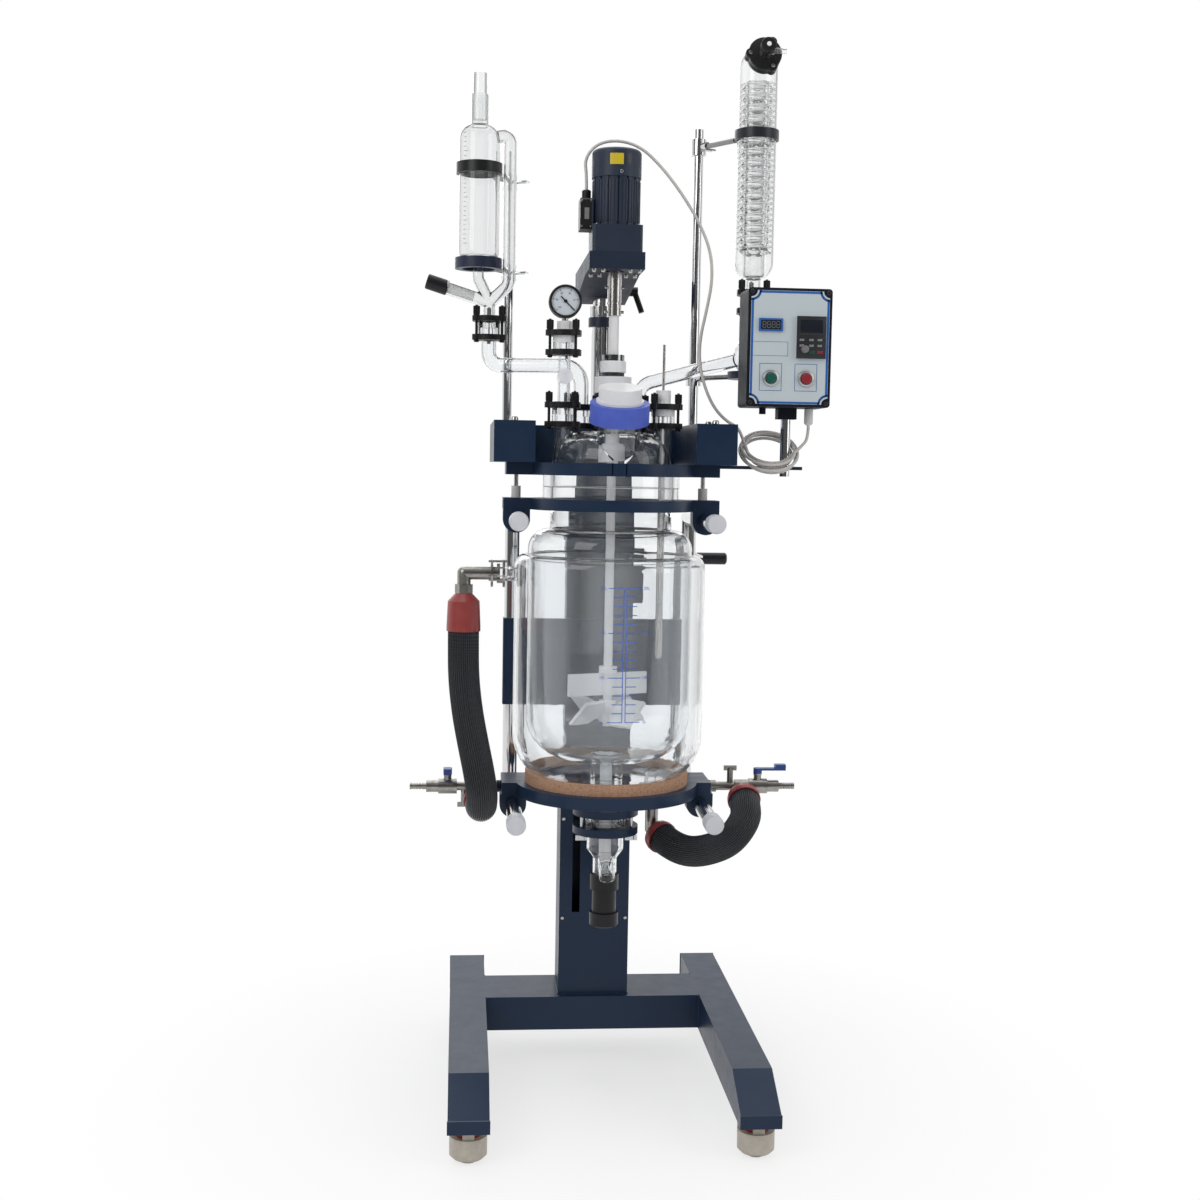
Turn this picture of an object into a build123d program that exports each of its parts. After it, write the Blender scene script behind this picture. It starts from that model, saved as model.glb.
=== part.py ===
from build123d import *
from math import cos, pi, radians, sin, sqrt, tan
import os

# Jacketed glass reactor on a wheeled stand: double-wall vessel on a crank lift, glass lid with
# stirrer drive, dropping funnel, vacuum gauge and coil condenser, control box and jacket hoses.
# Millimetres, +Z up. The model is laid out about the vessel's axis, X to the right seen from the
# front and Y to the back, and is moved at the end so that the origin is under its middle, on the floor.

# General clearances
running_gap = 0.3
seat_gap = 0.2
glass_wall = 3.0

# Casters and base
caster_height = 62.0
caster_skirt_r = 32.0
caster_skirt_top = 45.0
caster_skirt_bottom = 6.0
caster_plate_thickness = 3.0
caster_rib_width = 20.0
caster_rib_thickness = 6.0
caster_inset = 42.0
caster_wheel_r = 20.0
caster_wheel_width = 22.0
caster_wheel_lift = 1.0
caster_wheel_offset = 35.0
caster_axle_r = 4.0
jack_wheel_r = 22.0
jack_wheel_thickness = 6.5
jack_stem_r = 6.0
jack_pad_r = 15.0
jack_pad_height = 5.0
jack_travel = 5.0
leg_section = 70.0
leg_wall = 3.0
leg_spacing = 492.0
leg_front = -287.0
leg_rear = 461.0
leg_slope_run = 90.0
leg_slope_drop = 47.0
leg_cap_thickness = 4.0
leg_cap_lip = 1.0
beam_depth = 136.0
beam_height = 66.0
frame_y = 259.0

# Column and crank
column_width = 137.0
column_depth = 104.0
column_height = 1045.0
column_wall = 4.0
cover_thickness = 3.0
slot_x = -36.0
slot_width = 15.0
slot_bottom = 297.0
slot_top = 1010.0
gearbox_width = 24.0
gearbox_depth = 60.0
gearbox_height = 110.0
crank_z = 989.0
crank_shaft_r = 7.0
crank_arm_x = 200.0
crank_arm_length = 90.0
crank_arm_thickness = 8.0
crank_arm_width = 22.0
crank_grip_r = 12.0
crank_grip_length = 63.0

# Upper frame and rods
arm_section = 72.0
arm_wall = 3.0
arm_x = 177.0
arm_front = -88.0
rod_x = 181.7
rod_y = 249.5
rod_r = 9.5
rod_left_length = 518.0
rod_right_length = 572.0
rod_left_free = 36.0
rod_right_free = 16.0
rod_line_width = 1.0
rod_line_depth = 0.3
drive_pole_r = 19.0
drive_pole_length = 285.0
collar_r = 25.5
collar_height = 20.0
control_pole_r = 9.2
control_bar_width = 34.0
control_bar_thickness = 6.0
control_bar_end = 344.0

# Vessel, lid and rings
vessel_bore_r = 143.0
vessel_wall = 5.0
jacket_r = 172.0
neck_r = 109.5
flange_r = 123.0
lid_flange_thickness = 20.0
vessel_flange_thickness = 20.0
gasket_thickness = 1.2
neck_height = 53.0
shoulder_r = 38.0
jacket_top_drop = 46.0
jacket_shoulder_r = 23.0
vessel_depth = 412.0
bore_knuckle_r = 75.0
jacket_bottom_gap = 50.0
jacket_knuckle_r = 92.0
outlet_r = 30.0
outlet_bore_r = 24.0
outlet_length = 108.5
outlet_flange_r = 37.0
port_joint_length = 16.0
outlet_flange_thickness = 10.0
port_z_drop = 37.0
port_r = 13.0
port_bore_r = 9.0
port_end = 198.0
port_flange_r = 18.0
port_flange_thickness = 5.0
drain_place_x = 92.0
drain_place_y = 55.0
drain_length = 42.0
drain_stub = 58.0
lid_wall_r = 107.0
lid_height = 79.0
lid_dome_r = 55.0
lid_ring_thickness = 22.0
lid_ring_r = 150.0
ring_play = 2.5
ear_end = 190.0
ear_front = -45.0
ear_back = 45.0
neck_ring_r = 146.0
neck_ring_thickness = 20.0
base_ring_r = 165.0
base_ring_bore_r = 126.0
base_ring_thickness = 21.5
base_ear_back = 78.0
cork_r = 148.0
cork_bore_r = 132.0
cork_height = 20.2
lug_width = 48.0
lug_depth = 30.0
lug_front = -22.0
stud_y = 24.0
stud_r = 4.0
sleeve_r = 8.5
sleeve_height = 21.0

# Lift frame
side_tube_x = 170.0
side_tube_r = 14.0
side_tube_wall = 2.5
side_tube_drop = 18.0
side_tube_front = -142.0
lower_tube_front = -190.0
post_y = 190.0
end_cap_length = 6.0
end_cap_lip = 1.0
sleeve_width = 31.6
plate_height = 166.0
plate_thickness = 12.0
plate_front = 178.0
plate_middle_z = 797.0
carriage_block_width = 120.0
carriage_block_height = 110.0
tongue_height = 90.0
tongue_depth = 20.0

# Three-bolt neck joints
plate_r = 30.0
plate_lobe_r = 8.0
plate_pitch_r = 27.0
joint_plate_thickness = 10.0
joint_flange_r = 21.0
joint_flange_thickness = 12.0
joint_tube_r = 16.5
bolt_r = 2.5
knob_nut_r = 5.5
knob_nut_height = 17.0
bolt_tail = 4.0
neck_circle_r = 91.0
neck_joint_height = 107.0
riser_neck_angle = 192.5
probe_neck_angle = -12.5
funnel_neck_angle = 124.0
reflux_neck_angle = 54.0

# Front port
port_tilt = 15.0
front_port_x = 4.0
front_port_y = -90.0
front_port_rise = 110.0
front_port_tube_r = 38.0
front_port_tube_length = 94.0
front_port_flange_r = 42.0
front_port_flange_height = 8.0
port_ring_r = 52.0
port_ring_height = 35.0
port_ring_lip = 5.0
port_plug_r = 37.5
port_plug_height = 33.0
port_collar_r = 41.5
port_plug_flange_r = 43.0
port_plug_flange_height = 6.0

# Stirrer, seal and drive
shaft_r = 8.0
upper_sleeve_r = 9.0
upper_sleeve_length = 69.0
coupling_r = 12.5
coupling_length = 78.0
coupling_screw_reach = 17.0
coupling_screw_r = 2.5
seal_base_r = 33.0
seal_foot_r = 20.0
seal_foot_height = 18.5
seal_base_height = 47.0
seal_groove_r = 20.0
seal_groove_height = 8.0
seal_body_r = 23.0
seal_body_height = 20.0
seal_cap_height = 11.0
bushing_r = 13.5
bushing_tip_r = 24.0
bushing_tip_height = 34.0
stirrer_length = 668.0
hub_r = 16.5
hub_height = 12.0
paddle_span = 156.0
paddle_height = 40.0
paddle_thickness = 6.0
paddle_rise = 57.0
paddle_turn = 20.0
pitched_hub_r = 15.0
pitched_hub_height = 40.0
pitched_reach = 74.0
pitched_width = 60.0
pitched_root = 24.0
pitched_angle = 45.0
pitched_turn = 40.0
pitched_thickness = 6.0
motor_r = 42.0
motor_rib_depth = 2.5
motor_rib_count = 16
motor_body_height = 84.0
motor_cap_r = 44.0
motor_cap_height = 50.0
motor_cap_round = 8.0
gearhead_width = 89.0
gearhead_height = 47.0
bracket_width = 98.0
bracket_plate_thickness = 30.0
bracket_front = -45.0
bracket_overhang = 42.0
bracket_drop = 58.0
bracket_wall = 6.0
bracket_top_thickness = 8.0
clamp_block_length = 72.0
collar_drop = 67.0
junction_width = 24.0
junction_depth = 48.0
junction_height = 54.0
gland_r = 8.0
gland_length = 17.0
lever_boss_r = 9.0
lever_boss_length = 20.0
lever_length = 40.0

# Dropping funnel and its arm
funnel_x = -241.0
funnel_y = 120.0
funnel_r = 37.5
funnel_body_height = 241.0
funnel_neck_r = 16.0
funnel_neck_height = 72.0
funnel_stem_r = 11.0
funnel_joint_x = -220.0
funnel_joint_height = 160.0
funnel_body_rise = 127.0
funnel_meet_drop = 79.0
funnel_branch_length = 80.0
stopper_r = 12.5
stopper_height = 38.0
side_arm_x = -185.0
side_arm_r = 12.0
funnel_valve_tilt = 17.0
funnel_valve_r = 12.0
funnel_knob_r = 14.0
funnel_knob_length = 40.0
arm_tube_r = 14.0
funnel_arm_drop = 67.0
funnel_arm_bend = 24.0

# Gauge
riser_height = 126.0
riser_tube_r = 11.0
stopcock_barrel_r = 12.0
stopcock_barrel_length = 48.0
stopcock_rise = 66.0
stopcock_key_r = 6.0
stopcock_grip_r = 13.5
stopcock_grip_thickness = 8.0
gauge_r = 28.5
gauge_depth = 28.0
gauge_rim = 3.0
gauge_dial_recess = 4.0
gauge_stem_r = 6.0
gauge_hex_width = 24.0
gauge_hex_height = 15.0
gauge_rise = 72.0
needle_length = 22.0
needle_width = 2.0
needle_hub_r = 3.0

# Condenser and reflux arm
condenser_x = 271.0
condenser_y = 120.0
condenser_r = 36.5
condenser_length = 418.0
condenser_rise = 40.0
condenser_low_round = 33.0
condenser_top_round = 30.0
condenser_clamp_rise = 256.0
condenser_neck_r = 14.0
condenser_joint_rise = 220.0
bulb_r = 36.0
bulb_drop = 100.0
reflux_tube_r = 13.0
reflux_bend_rise = 60.0
reflux_bend = 34.0
coil_r = 28.0
coil_groove = 6.0
coil_turns = 16
coil_length = 316.0
coil_rise = 46.0
head_tilt = 12.0
head_drop = 34.0
head_tube_r = 18.0
head_reach = 48.0
head_lobe_angle = 60.0
valve_body_r = 12.0
valve_body_length = 22.0
valve_knob_r = 14.0
valve_knob_length = 14.0
side_barb_r = 5.0
side_barb_length = 24.0
side_barb_collar_r = 7.5
side_barb_collar = 2.0

# Rod clamps and ring holders
boss_r = 15.0
boss_height = 30.0
boss_screw_r = 3.5
boss_screw_length = 18.0
holder_rod_r = 5.0
funnel_band_height = 20.0
holder_wall = 4.5
funnel_ring_r = 43.0
funnel_ring_bore_r = 30.0
funnel_ring_height = 20.0
funnel_band_rise = 151.0
condenser_ring_height = 18.0
bulb_ring_r = 44.0
bulb_ring_bore_r = 18.0
bulb_ring_drop = 29.0
bulb_ring_height = 14.0

# Control box
box_width = 150.0
box_height = 208.0
box_depth = 88.0
box_x = 306.0
box_front = -60.0
box_bottom_rise = 105.0
box_round = 6.0
panel_margin = 5.0
panel_thickness = 2.0
display_width = 42.0
display_height = 22.0
keypad_width = 52.0
keypad_height = 74.0
button_r = 9.0
button_bezel_r = 14.0
button_height = 9.0
button_travel = 3.0
knob_r = 6.5
knob_height = 10.0
relief_r = 8.0
relief_length = 30.0

# Valves, hoses and fittings
manifold_y = 42.0
manifold_z_rise = 3.0
manifold_boss_r = 11.0
manifold_boss_end = 198.0
pipe_r = 8.0
tee_r = 12.0
tee_x_left = 228.0
tee_x_right = 256.0
tee_tilt = 23.0
tee_reach = 22.0
drain_valve_x = 258.0
vent_valve_x = 236.0
small_valve_length = 34.0
valve_x = 288.0
valve_ball_r = 14.0
valve_ball_length = 34.0
valve_stem_r = 4.0
valve_stem_height = 34.0
valve_boss_r = 7.0
valve_boss_height = 7.0
wing_width = 24.0
wing_thickness = 4.0
wing_height = 9.0
lever_tip_length = 20.0
lever_tip_rise = 7.0
valve_nut_r = 11.0
valve_nut_length = 11.0
barb_r = 6.0
barb_length = 30.0
barb_groove = 1.2
barb_groove_width = 2.0
barb_groove_pitch = 5.0
barb_ridges = 4
barb_bore_r = 3.5
lever_bar_length = 52.0
lever_bar_width = 14.0
lever_bar_thickness = 4.0
elbow_x = 262.0
elbow_r = 12.0
elbow_drop = 36.0
clamp_bolt_r = 2.0
port_clamp_r = 25.0
port_clamp_thickness = 4.0
cap_r = 30.5
cap_neck_r = 15.0
cap_length = 68.0
cap_floor = 16.0
short_cap_length = 26.0
short_cap_floor = 12.0
hose_r = 28.0
nut_r = 16.0
nut_height = 16.0
cable_r = 2.8
coil_loop_r = 48.0
coil_bundle_r = 8.0

# Discharge valve
discharge_ring_r = 59.5
discharge_ring_thickness = 14.0
discharge_bolt_pitch_r = 52.0
discharge_body_r = 33.5
discharge_body_length = 55.0
discharge_neck_r = 22.0
discharge_neck_length = 58.0
discharge_nozzle_r = 14.5
discharge_nozzle_tilt = 38.0
discharge_nozzle_length = 68.0
nozzle_land = 24.0
nozzle_bead_r = 17.0
nozzle_bead_width = 3.0
discharge_collar_r = 26.0
discharge_collar_height = 29.0
discharge_sleeve_length = 42.0
discharge_knob_r = 26.5
discharge_knob_height = 26.0
plunger_r = 11.0
plunger_head_height = 12.0

# Heights that follow from the sizes above
leg_top = caster_height + leg_section
column_top = leg_top + column_height
arm_top = column_top + arm_section
lid_flange_top = column_top - lid_ring_thickness
lid_flange_bottom = lid_flange_top - lid_flange_thickness
vessel_top = lid_flange_bottom - gasket_thickness - running_gap
neck_ring_top = vessel_top - vessel_flange_thickness
neck_ring_bottom = neck_ring_top - neck_ring_thickness
shoulder_top = neck_ring_top - neck_height
inner_r = vessel_bore_r + vessel_wall
jacket_top = shoulder_top - jacket_top_drop
inner_bottom = shoulder_top - vessel_depth
jacket_bottom = inner_bottom - jacket_bottom_gap
jacket_knuckle_z = jacket_bottom + jacket_knuckle_r
jacket_knuckle_x = jacket_r - jacket_knuckle_r
cork_contact_r = (cork_r + cork_bore_r) / 2
cork_top = jacket_knuckle_z - sqrt(jacket_knuckle_r**2 - (cork_contact_r - jacket_knuckle_x) ** 2)
base_ring_top = cork_top - cork_height
base_ring_bottom = base_ring_top - base_ring_thickness
upper_tube_z = neck_ring_bottom - side_tube_drop
lower_tube_z = base_ring_bottom - side_tube_drop
outlet_end = inner_bottom - outlet_length - outlet_flange_thickness
neck_joint_z = lid_flange_top + neck_joint_height
column_front = frame_y - column_depth / 2
shaft_top = neck_joint_z + joint_flange_thickness + joint_plate_thickness
seal_top = shaft_top + seal_base_height + seal_groove_height + seal_body_height + seal_cap_height
coupling_bottom = seal_top + upper_sleeve_length
bracket_bottom = coupling_bottom + coupling_length
bracket_top = bracket_bottom + bracket_plate_thickness
gearhead_top = bracket_top + gearhead_height
motor_top = gearhead_top + motor_body_height
gauge_joint_z = neck_joint_z + riser_height
gauge_z = gauge_joint_z + gauge_rise
funnel_joint_z = neck_joint_z + funnel_joint_height
funnel_bottom = funnel_joint_z + funnel_body_rise
condenser_joint_z = neck_joint_z + condenser_joint_rise
condenser_bottom = condenser_joint_z + condenser_rise
condenser_top = condenser_bottom + condenser_length
bulb_z = condenser_joint_z - bulb_drop
control_bar_top = column_top
box_bottom = control_bar_top + box_bottom_rise
manifold_z = base_ring_bottom + manifold_z_rise
port_z = jacket_top - port_z_drop

BOTTOM = (Align.CENTER, Align.CENTER, Align.MIN)


def rod(x, y, z_low, z_high, r):
    """Upright cylinder from one height to another."""
    return Pos(x, y, z_low) * Cylinder(r, z_high - z_low, align=BOTTOM)


def bar(start, end, r):
    """Cylinder from one point to another."""
    line = Vector(*end) - Vector(*start)
    return Plane(origin=start, z_dir=line) * Cylinder(r, line.length, align=BOTTOM)


def block(x_low, x_high, y_low, y_high, z_low, z_high):
    """Box between two corners."""
    middle = Pos((x_low + x_high) / 2, (y_low + y_high) / 2, (z_low + z_high) / 2)
    return middle * Box(x_high - x_low, y_high - y_low, z_high - z_low)


def group(*pieces):
    """Compound that keeps each piece a separate solid."""
    return Compound(children=[solid for piece in pieces for solid in piece.solids()])


def lathe(*points):
    """Solid turned about Z from the (r, z) points of its outline."""
    outline = Polyline(*[(r, 0, z) for r, z in points], close=True)
    return revolve(make_face(outline), Axis.Z)


def bent_tube(points, bends, r):
    """Round rod along straight runs joined by arcs, one radius for each corner."""
    path = FilletPolyline(*points, radius=bends)
    start = Vector(*points[0])
    return sweep(Plane(origin=start, z_dir=Vector(*points[1]) - start) * Circle(r), path=path)


def knuckled_barrel(r, z_low, z_high, low_round, high_round):
    """Upright barrel with a rounded bottom edge and a rounded shoulder."""
    barrel = rod(0, 0, z_low, z_high, r)
    barrel = fillet(barrel.edges().group_by(Axis.Z)[0], low_round)
    return fillet(barrel.edges().group_by(Axis.Z)[-1], high_round)


def polar(r, angle):
    """Point on a circle about the vessel's axis."""
    return r * cos(radians(angle)), r * sin(radians(angle))


# Neck joints

riser_neck = polar(neck_circle_r, riser_neck_angle)
probe_neck = polar(neck_circle_r, probe_neck_angle)
funnel_neck = polar(neck_circle_r, funnel_neck_angle)
reflux_neck = polar(neck_circle_r, reflux_neck_angle)
plate_gap = joint_flange_thickness
neck_joints = [
    (0, 0, neck_joint_z, 90),
    (*riser_neck, neck_joint_z, riser_neck_angle),
    (*probe_neck, neck_joint_z, probe_neck_angle),
    (*funnel_neck, neck_joint_z, funnel_neck_angle),
    (*reflux_neck, neck_joint_z, reflux_neck_angle),
    (*riser_neck, gauge_joint_z, riser_neck_angle),
    (funnel_joint_x, funnel_y, funnel_joint_z, 90),
    (condenser_x, condenser_y, condenser_joint_z, 90),
]


def joint_plate():
    """Three-lobed clamp plate with a round hole for the glass."""
    face = Circle(plate_r)
    for turn in range(3):
        x, y = polar(plate_pitch_r, 120 * turn)
        face += Pos(x, y) * Circle(plate_lobe_r)
    face -= Circle(joint_tube_r + seat_gap)
    for turn in range(3):
        x, y = polar(plate_pitch_r, 120 * turn)
        face -= Pos(x, y) * Circle(bolt_r + seat_gap)
    return extrude(face, joint_plate_thickness)


def joint_plates():
    """Both plates of every neck joint."""
    plate = joint_plate()
    pieces = []
    for x, y, z, turn in neck_joints:
        for low in (z - plate_gap - joint_plate_thickness, z + plate_gap):
            pieces.append(Pos(x, y, low) * Rot(0, 0, turn) * plate)
    return group(*pieces)


def joint_bolts():
    """Bolt with its knurled nut at each lobe of every neck joint."""
    tail = plate_gap + joint_plate_thickness + bolt_tail
    seat = plate_gap + joint_plate_thickness
    bolt = rod(0, 0, -tail, seat, bolt_r)
    bolt += rod(0, 0, -tail, -seat, knob_nut_r - 1)
    bolt += rod(0, 0, seat, seat + knob_nut_height, knob_nut_r)
    pieces = []
    for x, y, z, turn in neck_joints:
        for lobe in range(3):
            dx, dy = polar(plate_pitch_r, turn + 120 * lobe)
            pieces.append(Pos(x + dx, y + dy, z) * bolt)
    return group(*pieces)


def glass_end(x, y, z, side):
    """Flanged glass tube end at a neck joint, below it for side -1 and above it for side 1."""
    reach = joint_flange_thickness + joint_plate_thickness + 1
    face = z + side * seat_gap / 2
    rim = z + side * joint_flange_thickness
    tip = z + side * reach
    flange = rod(x, y, min(face, rim), max(face, rim), joint_flange_r)
    return flange + rod(x, y, min(face, tip), max(face, tip), joint_tube_r)


# Base

def leg(side):
    """Box-section leg with a sloped front, open inside."""
    def outline(inset):
        slope_start = leg_front + leg_slope_run
        nose_top = leg_top - leg_slope_drop
        points = [
            (leg_front, caster_height + inset),
            (leg_rear, caster_height + inset),
            (leg_rear, leg_top - inset),
            (slope_start, leg_top - inset),
            (leg_front, nose_top - inset),
        ]
        width = leg_section - 2 * inset
        face = make_face(Polyline(*[(0, y, z) for y, z in points], close=True))
        return Pos(side * leg_spacing / 2 - width / 2, 0, 0) * extrude(face, amount=width, dir=(1, 0, 0))
    return outline(0) - outline(leg_wall)


def leg_cap(side, front):
    """Plate that closes one end of a leg."""
    nose = leg_section - leg_slope_drop if front else leg_section
    half = leg_section / 2 + leg_cap_lip
    y = leg_front - leg_cap_thickness if front else leg_rear
    x = side * leg_spacing / 2
    top = caster_height + nose
    return block(x - half, x + half, y, y + leg_cap_thickness, caster_height, top)


def base_frame():
    """Two legs and the cross beam, welded, with the four leg end caps."""
    inner = leg_spacing / 2 - leg_section / 2
    beam = block(-inner, inner, frame_y - beam_depth / 2, frame_y + beam_depth / 2, leg_top - beam_height, leg_top)
    hollow = block(
        -inner, inner, frame_y - beam_depth / 2 + leg_wall, frame_y + beam_depth / 2 - leg_wall,
        leg_top - beam_height + leg_wall, leg_top - leg_wall,
    )
    caps = [leg_cap(side, front) for side in (-1, 1) for front in (False, True)]
    return group(leg(-1) + leg(1) + (beam - hollow), *caps)


caster_y = (leg_front + caster_inset, leg_rear - caster_inset)
caster_places = {
    "front_left": (-leg_spacing / 2, caster_y[0]),
    "front_right": (leg_spacing / 2, caster_y[0]),
    "rear_left": (-leg_spacing / 2, caster_y[1]),
    "rear_right": (leg_spacing / 2, caster_y[1]),
}
wheel_z = caster_wheel_r + caster_wheel_lift


def caster_housing():
    """Swivel housing: top plate, front and back ribs, and a skirt over the wheel and the pad."""
    tail = caster_wheel_offset + caster_wheel_r + 4
    skirt = Circle(caster_skirt_r) + Pos(0, tail / 2) * Rectangle(2 * caster_wheel_width, tail)
    skirt_solid = Pos(0, 0, caster_skirt_bottom) * extrude(skirt, caster_skirt_top - caster_skirt_bottom)
    rim = skirt_solid.edges().group_by(Axis.Z)[0]
    skirt_solid = chamfer(rim, 6.0)
    plate_high = caster_height - running_gap
    plate_low = plate_high - caster_plate_thickness
    plate = rod(0, 0, plate_low, plate_high, jack_wheel_r + caster_rib_thickness)
    rib_front = -jack_wheel_r - caster_rib_thickness
    half = caster_rib_width / 2
    ribs = block(-half, half, rib_front, rib_front + caster_rib_thickness, caster_skirt_top, plate_low)
    ribs += block(-half, half, -rib_front - caster_rib_thickness, -rib_front, caster_skirt_top, plate_low)
    bore = rod(0, 0, 0, caster_skirt_top, jack_stem_r + running_gap)
    pad_room = rod(0, 0, 0, jack_pad_height + jack_travel + 1, jack_pad_r + 1)
    slot_half = caster_wheel_width / 2 + 1
    slot_y = caster_wheel_offset - caster_wheel_r - 1
    wheel_room = block(-slot_half, slot_half, slot_y, tail + 1, 0, wheel_z + caster_wheel_r + 1)
    axle = bar(
        (-slot_half - 1, caster_wheel_offset, wheel_z), (slot_half + 1, caster_wheel_offset, wheel_z),
        caster_axle_r,
    )
    jack_room = rod(0, 0, caster_skirt_top, plate_low, jack_wheel_r + running_gap)
    return skirt_solid + plate + (ribs - jack_room) - bore - pad_room - wheel_room + axle


def caster_wheel():
    """Wheel turning on the housing's cross pin."""
    half = caster_wheel_width / 2
    centre = (0, caster_wheel_offset, wheel_z)
    wheel = bar((-half, centre[1], centre[2]), (half, centre[1], centre[2]), caster_wheel_r)
    wheel = chamfer(wheel.edges().filter_by(GeomType.CIRCLE), 2.0)
    return wheel - bar((-half, centre[1], centre[2]), (half, centre[1], centre[2]), caster_axle_r + 0.08)


def caster_foot():
    """Red jacking wheel, its stem and the floor pad."""
    wheel_low = caster_skirt_top + running_gap
    foot = rod(0, 0, 0, jack_pad_height, jack_pad_r)
    foot += rod(0, 0, jack_pad_height, wheel_low, jack_stem_r)
    return foot + rod(0, 0, wheel_low, wheel_low + jack_wheel_thickness, jack_wheel_r)


# Column, upper frame and rods

def column():
    """Square column with its slotted front cover, and the crank gearbox on its right side."""
    half = column_width / 2
    back = frame_y + column_depth / 2
    inner_front = column_front + cover_thickness
    shell = block(-half, half, inner_front, back, leg_top, column_top)
    shell -= block(
        -half + column_wall, half - column_wall, inner_front, back - column_wall, leg_top, column_top,
    )
    shell += block(-half, half, inner_front, back, leg_top, leg_top + column_wall)
    shell += block(-half, half, inner_front, back, column_top - column_wall, column_top)
    cover = block(-half, half, column_front, inner_front, leg_top, column_top)
    cover -= block(
        slot_x - slot_width / 2, slot_x + slot_width / 2, column_front, inner_front, slot_bottom, slot_top,
    )
    housing = block(
        half, half + gearbox_width, frame_y - gearbox_depth / 2, frame_y + gearbox_depth / 2,
        crank_z - gearbox_height * 0.75, crank_z + gearbox_height * 0.25,
    )
    housing = chamfer(housing.edges().filter_by(Axis.X), 8.0)
    boss_end = half + gearbox_width + 8
    housing += bar((half + gearbox_width, frame_y, crank_z), (boss_end, frame_y, crank_z), 2 * crank_shaft_r)
    housing -= bar((half + 4, frame_y, crank_z), (boss_end, frame_y, crank_z), crank_shaft_r + 0.05)
    return group(shell, cover, housing)


def crank():
    """Hand crank: shaft, flat arm pointing back and a free-standing grip."""
    shaft = bar((column_width / 2 + 5, frame_y, crank_z), (crank_arm_x, frame_y, crank_z), crank_shaft_r)
    arm_end = crank_arm_x + crank_arm_thickness
    grip_y = frame_y + crank_arm_length
    arm = block(
        crank_arm_x, arm_end, frame_y, grip_y, crank_z - crank_arm_width / 2, crank_z + crank_arm_width / 2,
    )
    for y in (frame_y, grip_y):
        arm += bar((crank_arm_x, y, crank_z), (arm_end, y, crank_z), crank_arm_width / 2)
    grip = bar((arm_end, grip_y, crank_z), (arm_end + crank_grip_length, grip_y, crank_z), crank_grip_r)
    return shaft + arm + chamfer(grip.edges().filter_by(GeomType.CIRCLE), 3.0)


def box_tube(x_low, x_high, y_low, y_high, z_low, z_high):
    """Closed box section with its hollow."""
    w = arm_wall
    outer = block(x_low, x_high, y_low, y_high, z_low, z_high)
    return outer, block(x_low + w, x_high - w, y_low + w, y_high - w, z_low + w, z_high - w)


def upper_frame():
    """Two closed box arms and the rear cross bar, welded, with the control box's bar below."""
    half = arm_section / 2
    back = frame_y + half
    solids, hollows = [], []
    for side in (-1, 1):
        x = side * arm_x
        outer, hollow = box_tube(x - half, x + half, arm_front, back, column_top, arm_top)
        solids.append(outer)
        hollows.append(hollow)
    inner = arm_x - half
    outer, hollow = box_tube(-inner, inner, frame_y - half, back, column_top, arm_top)
    frame = solids[0] + solids[1] + outer - hollows[0] - hollows[1] - hollow
    low = control_bar_top - control_bar_thickness
    control_bar = block(
        ear_end + 3, control_bar_end, -control_bar_width / 2, control_bar_width / 2, low, control_bar_top,
    )
    control_bar -= rod(box_x + 9, 0, low, control_bar_top, control_pole_r + seat_gap)
    return group(frame, control_bar, lid_ring())


def lid_ring():
    """Ring that clamps the lid's flange from above, with ears under the arms and a split front."""
    low = column_top - lid_ring_thickness
    ring = rod(0, 0, low, column_top, lid_ring_r)
    ring += block(-ear_end, ear_end, ear_front, ear_back, low, column_top)
    ring -= rod(0, 0, low, column_top, lid_wall_r + ring_play)
    for x in (-12, 12):
        ring -= block(x - 1, x + 1, -lid_ring_r, -lid_ring_r + 12, low, column_top)
    return ring


def rod_clamp(x, z, towards):
    """Rod clamp: sleeve round the rod, a block to the side and a wing screw."""
    toward = Vector(*towards).normalized()
    across = Vector(-toward.Y, toward.X, 0)
    sleeve = rod(x, rod_y, z - boss_height / 2, z + boss_height / 2, boss_r)
    start = Vector(x, rod_y, z)
    arm = start + toward * (boss_r + 10)
    sleeve += bar(tuple(start), tuple(arm), 8.0)
    tip = start + across * (boss_r + boss_screw_length)
    sleeve += bar(tuple(start), tuple(tip), boss_screw_r)
    wing = Plane(origin=tip, z_dir=across) * Box(16, 3, 10)
    return sleeve + wing - rod(x, rod_y, z - boss_height, z + boss_height, rod_r + seat_gap)


funnel_band_z = funnel_bottom + funnel_band_rise
funnel_ring_top = funnel_bottom
condenser_ring_z = condenser_bottom + condenser_clamp_rise
bulb_ring_top = bulb_z - bulb_ring_drop
holder_places = [
    (-rod_x, funnel_band_z + funnel_band_height / 2, (funnel_x, funnel_y), funnel_r),
    (-rod_x, funnel_ring_top - funnel_ring_height / 2, (funnel_x, funnel_y), funnel_ring_r),
    (rod_x, condenser_ring_z + condenser_ring_height / 2, (condenser_x, condenser_y), condenser_r),
    (rod_x, bulb_ring_top - bulb_ring_height / 2, (condenser_x, condenser_y), bulb_ring_r),
]


def thin_rod(x, length, free):
    """Thin support rod with a fine turned line below its free top."""
    line_top = arm_top + length - free
    line = rod(x, rod_y, line_top - rod_line_width, line_top, rod_r + 1)
    line -= rod(x, rod_y, line_top - rod_line_width, line_top, rod_r - rod_line_depth)
    return rod(x, rod_y, arm_top, arm_top + length, rod_r) - line


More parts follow.
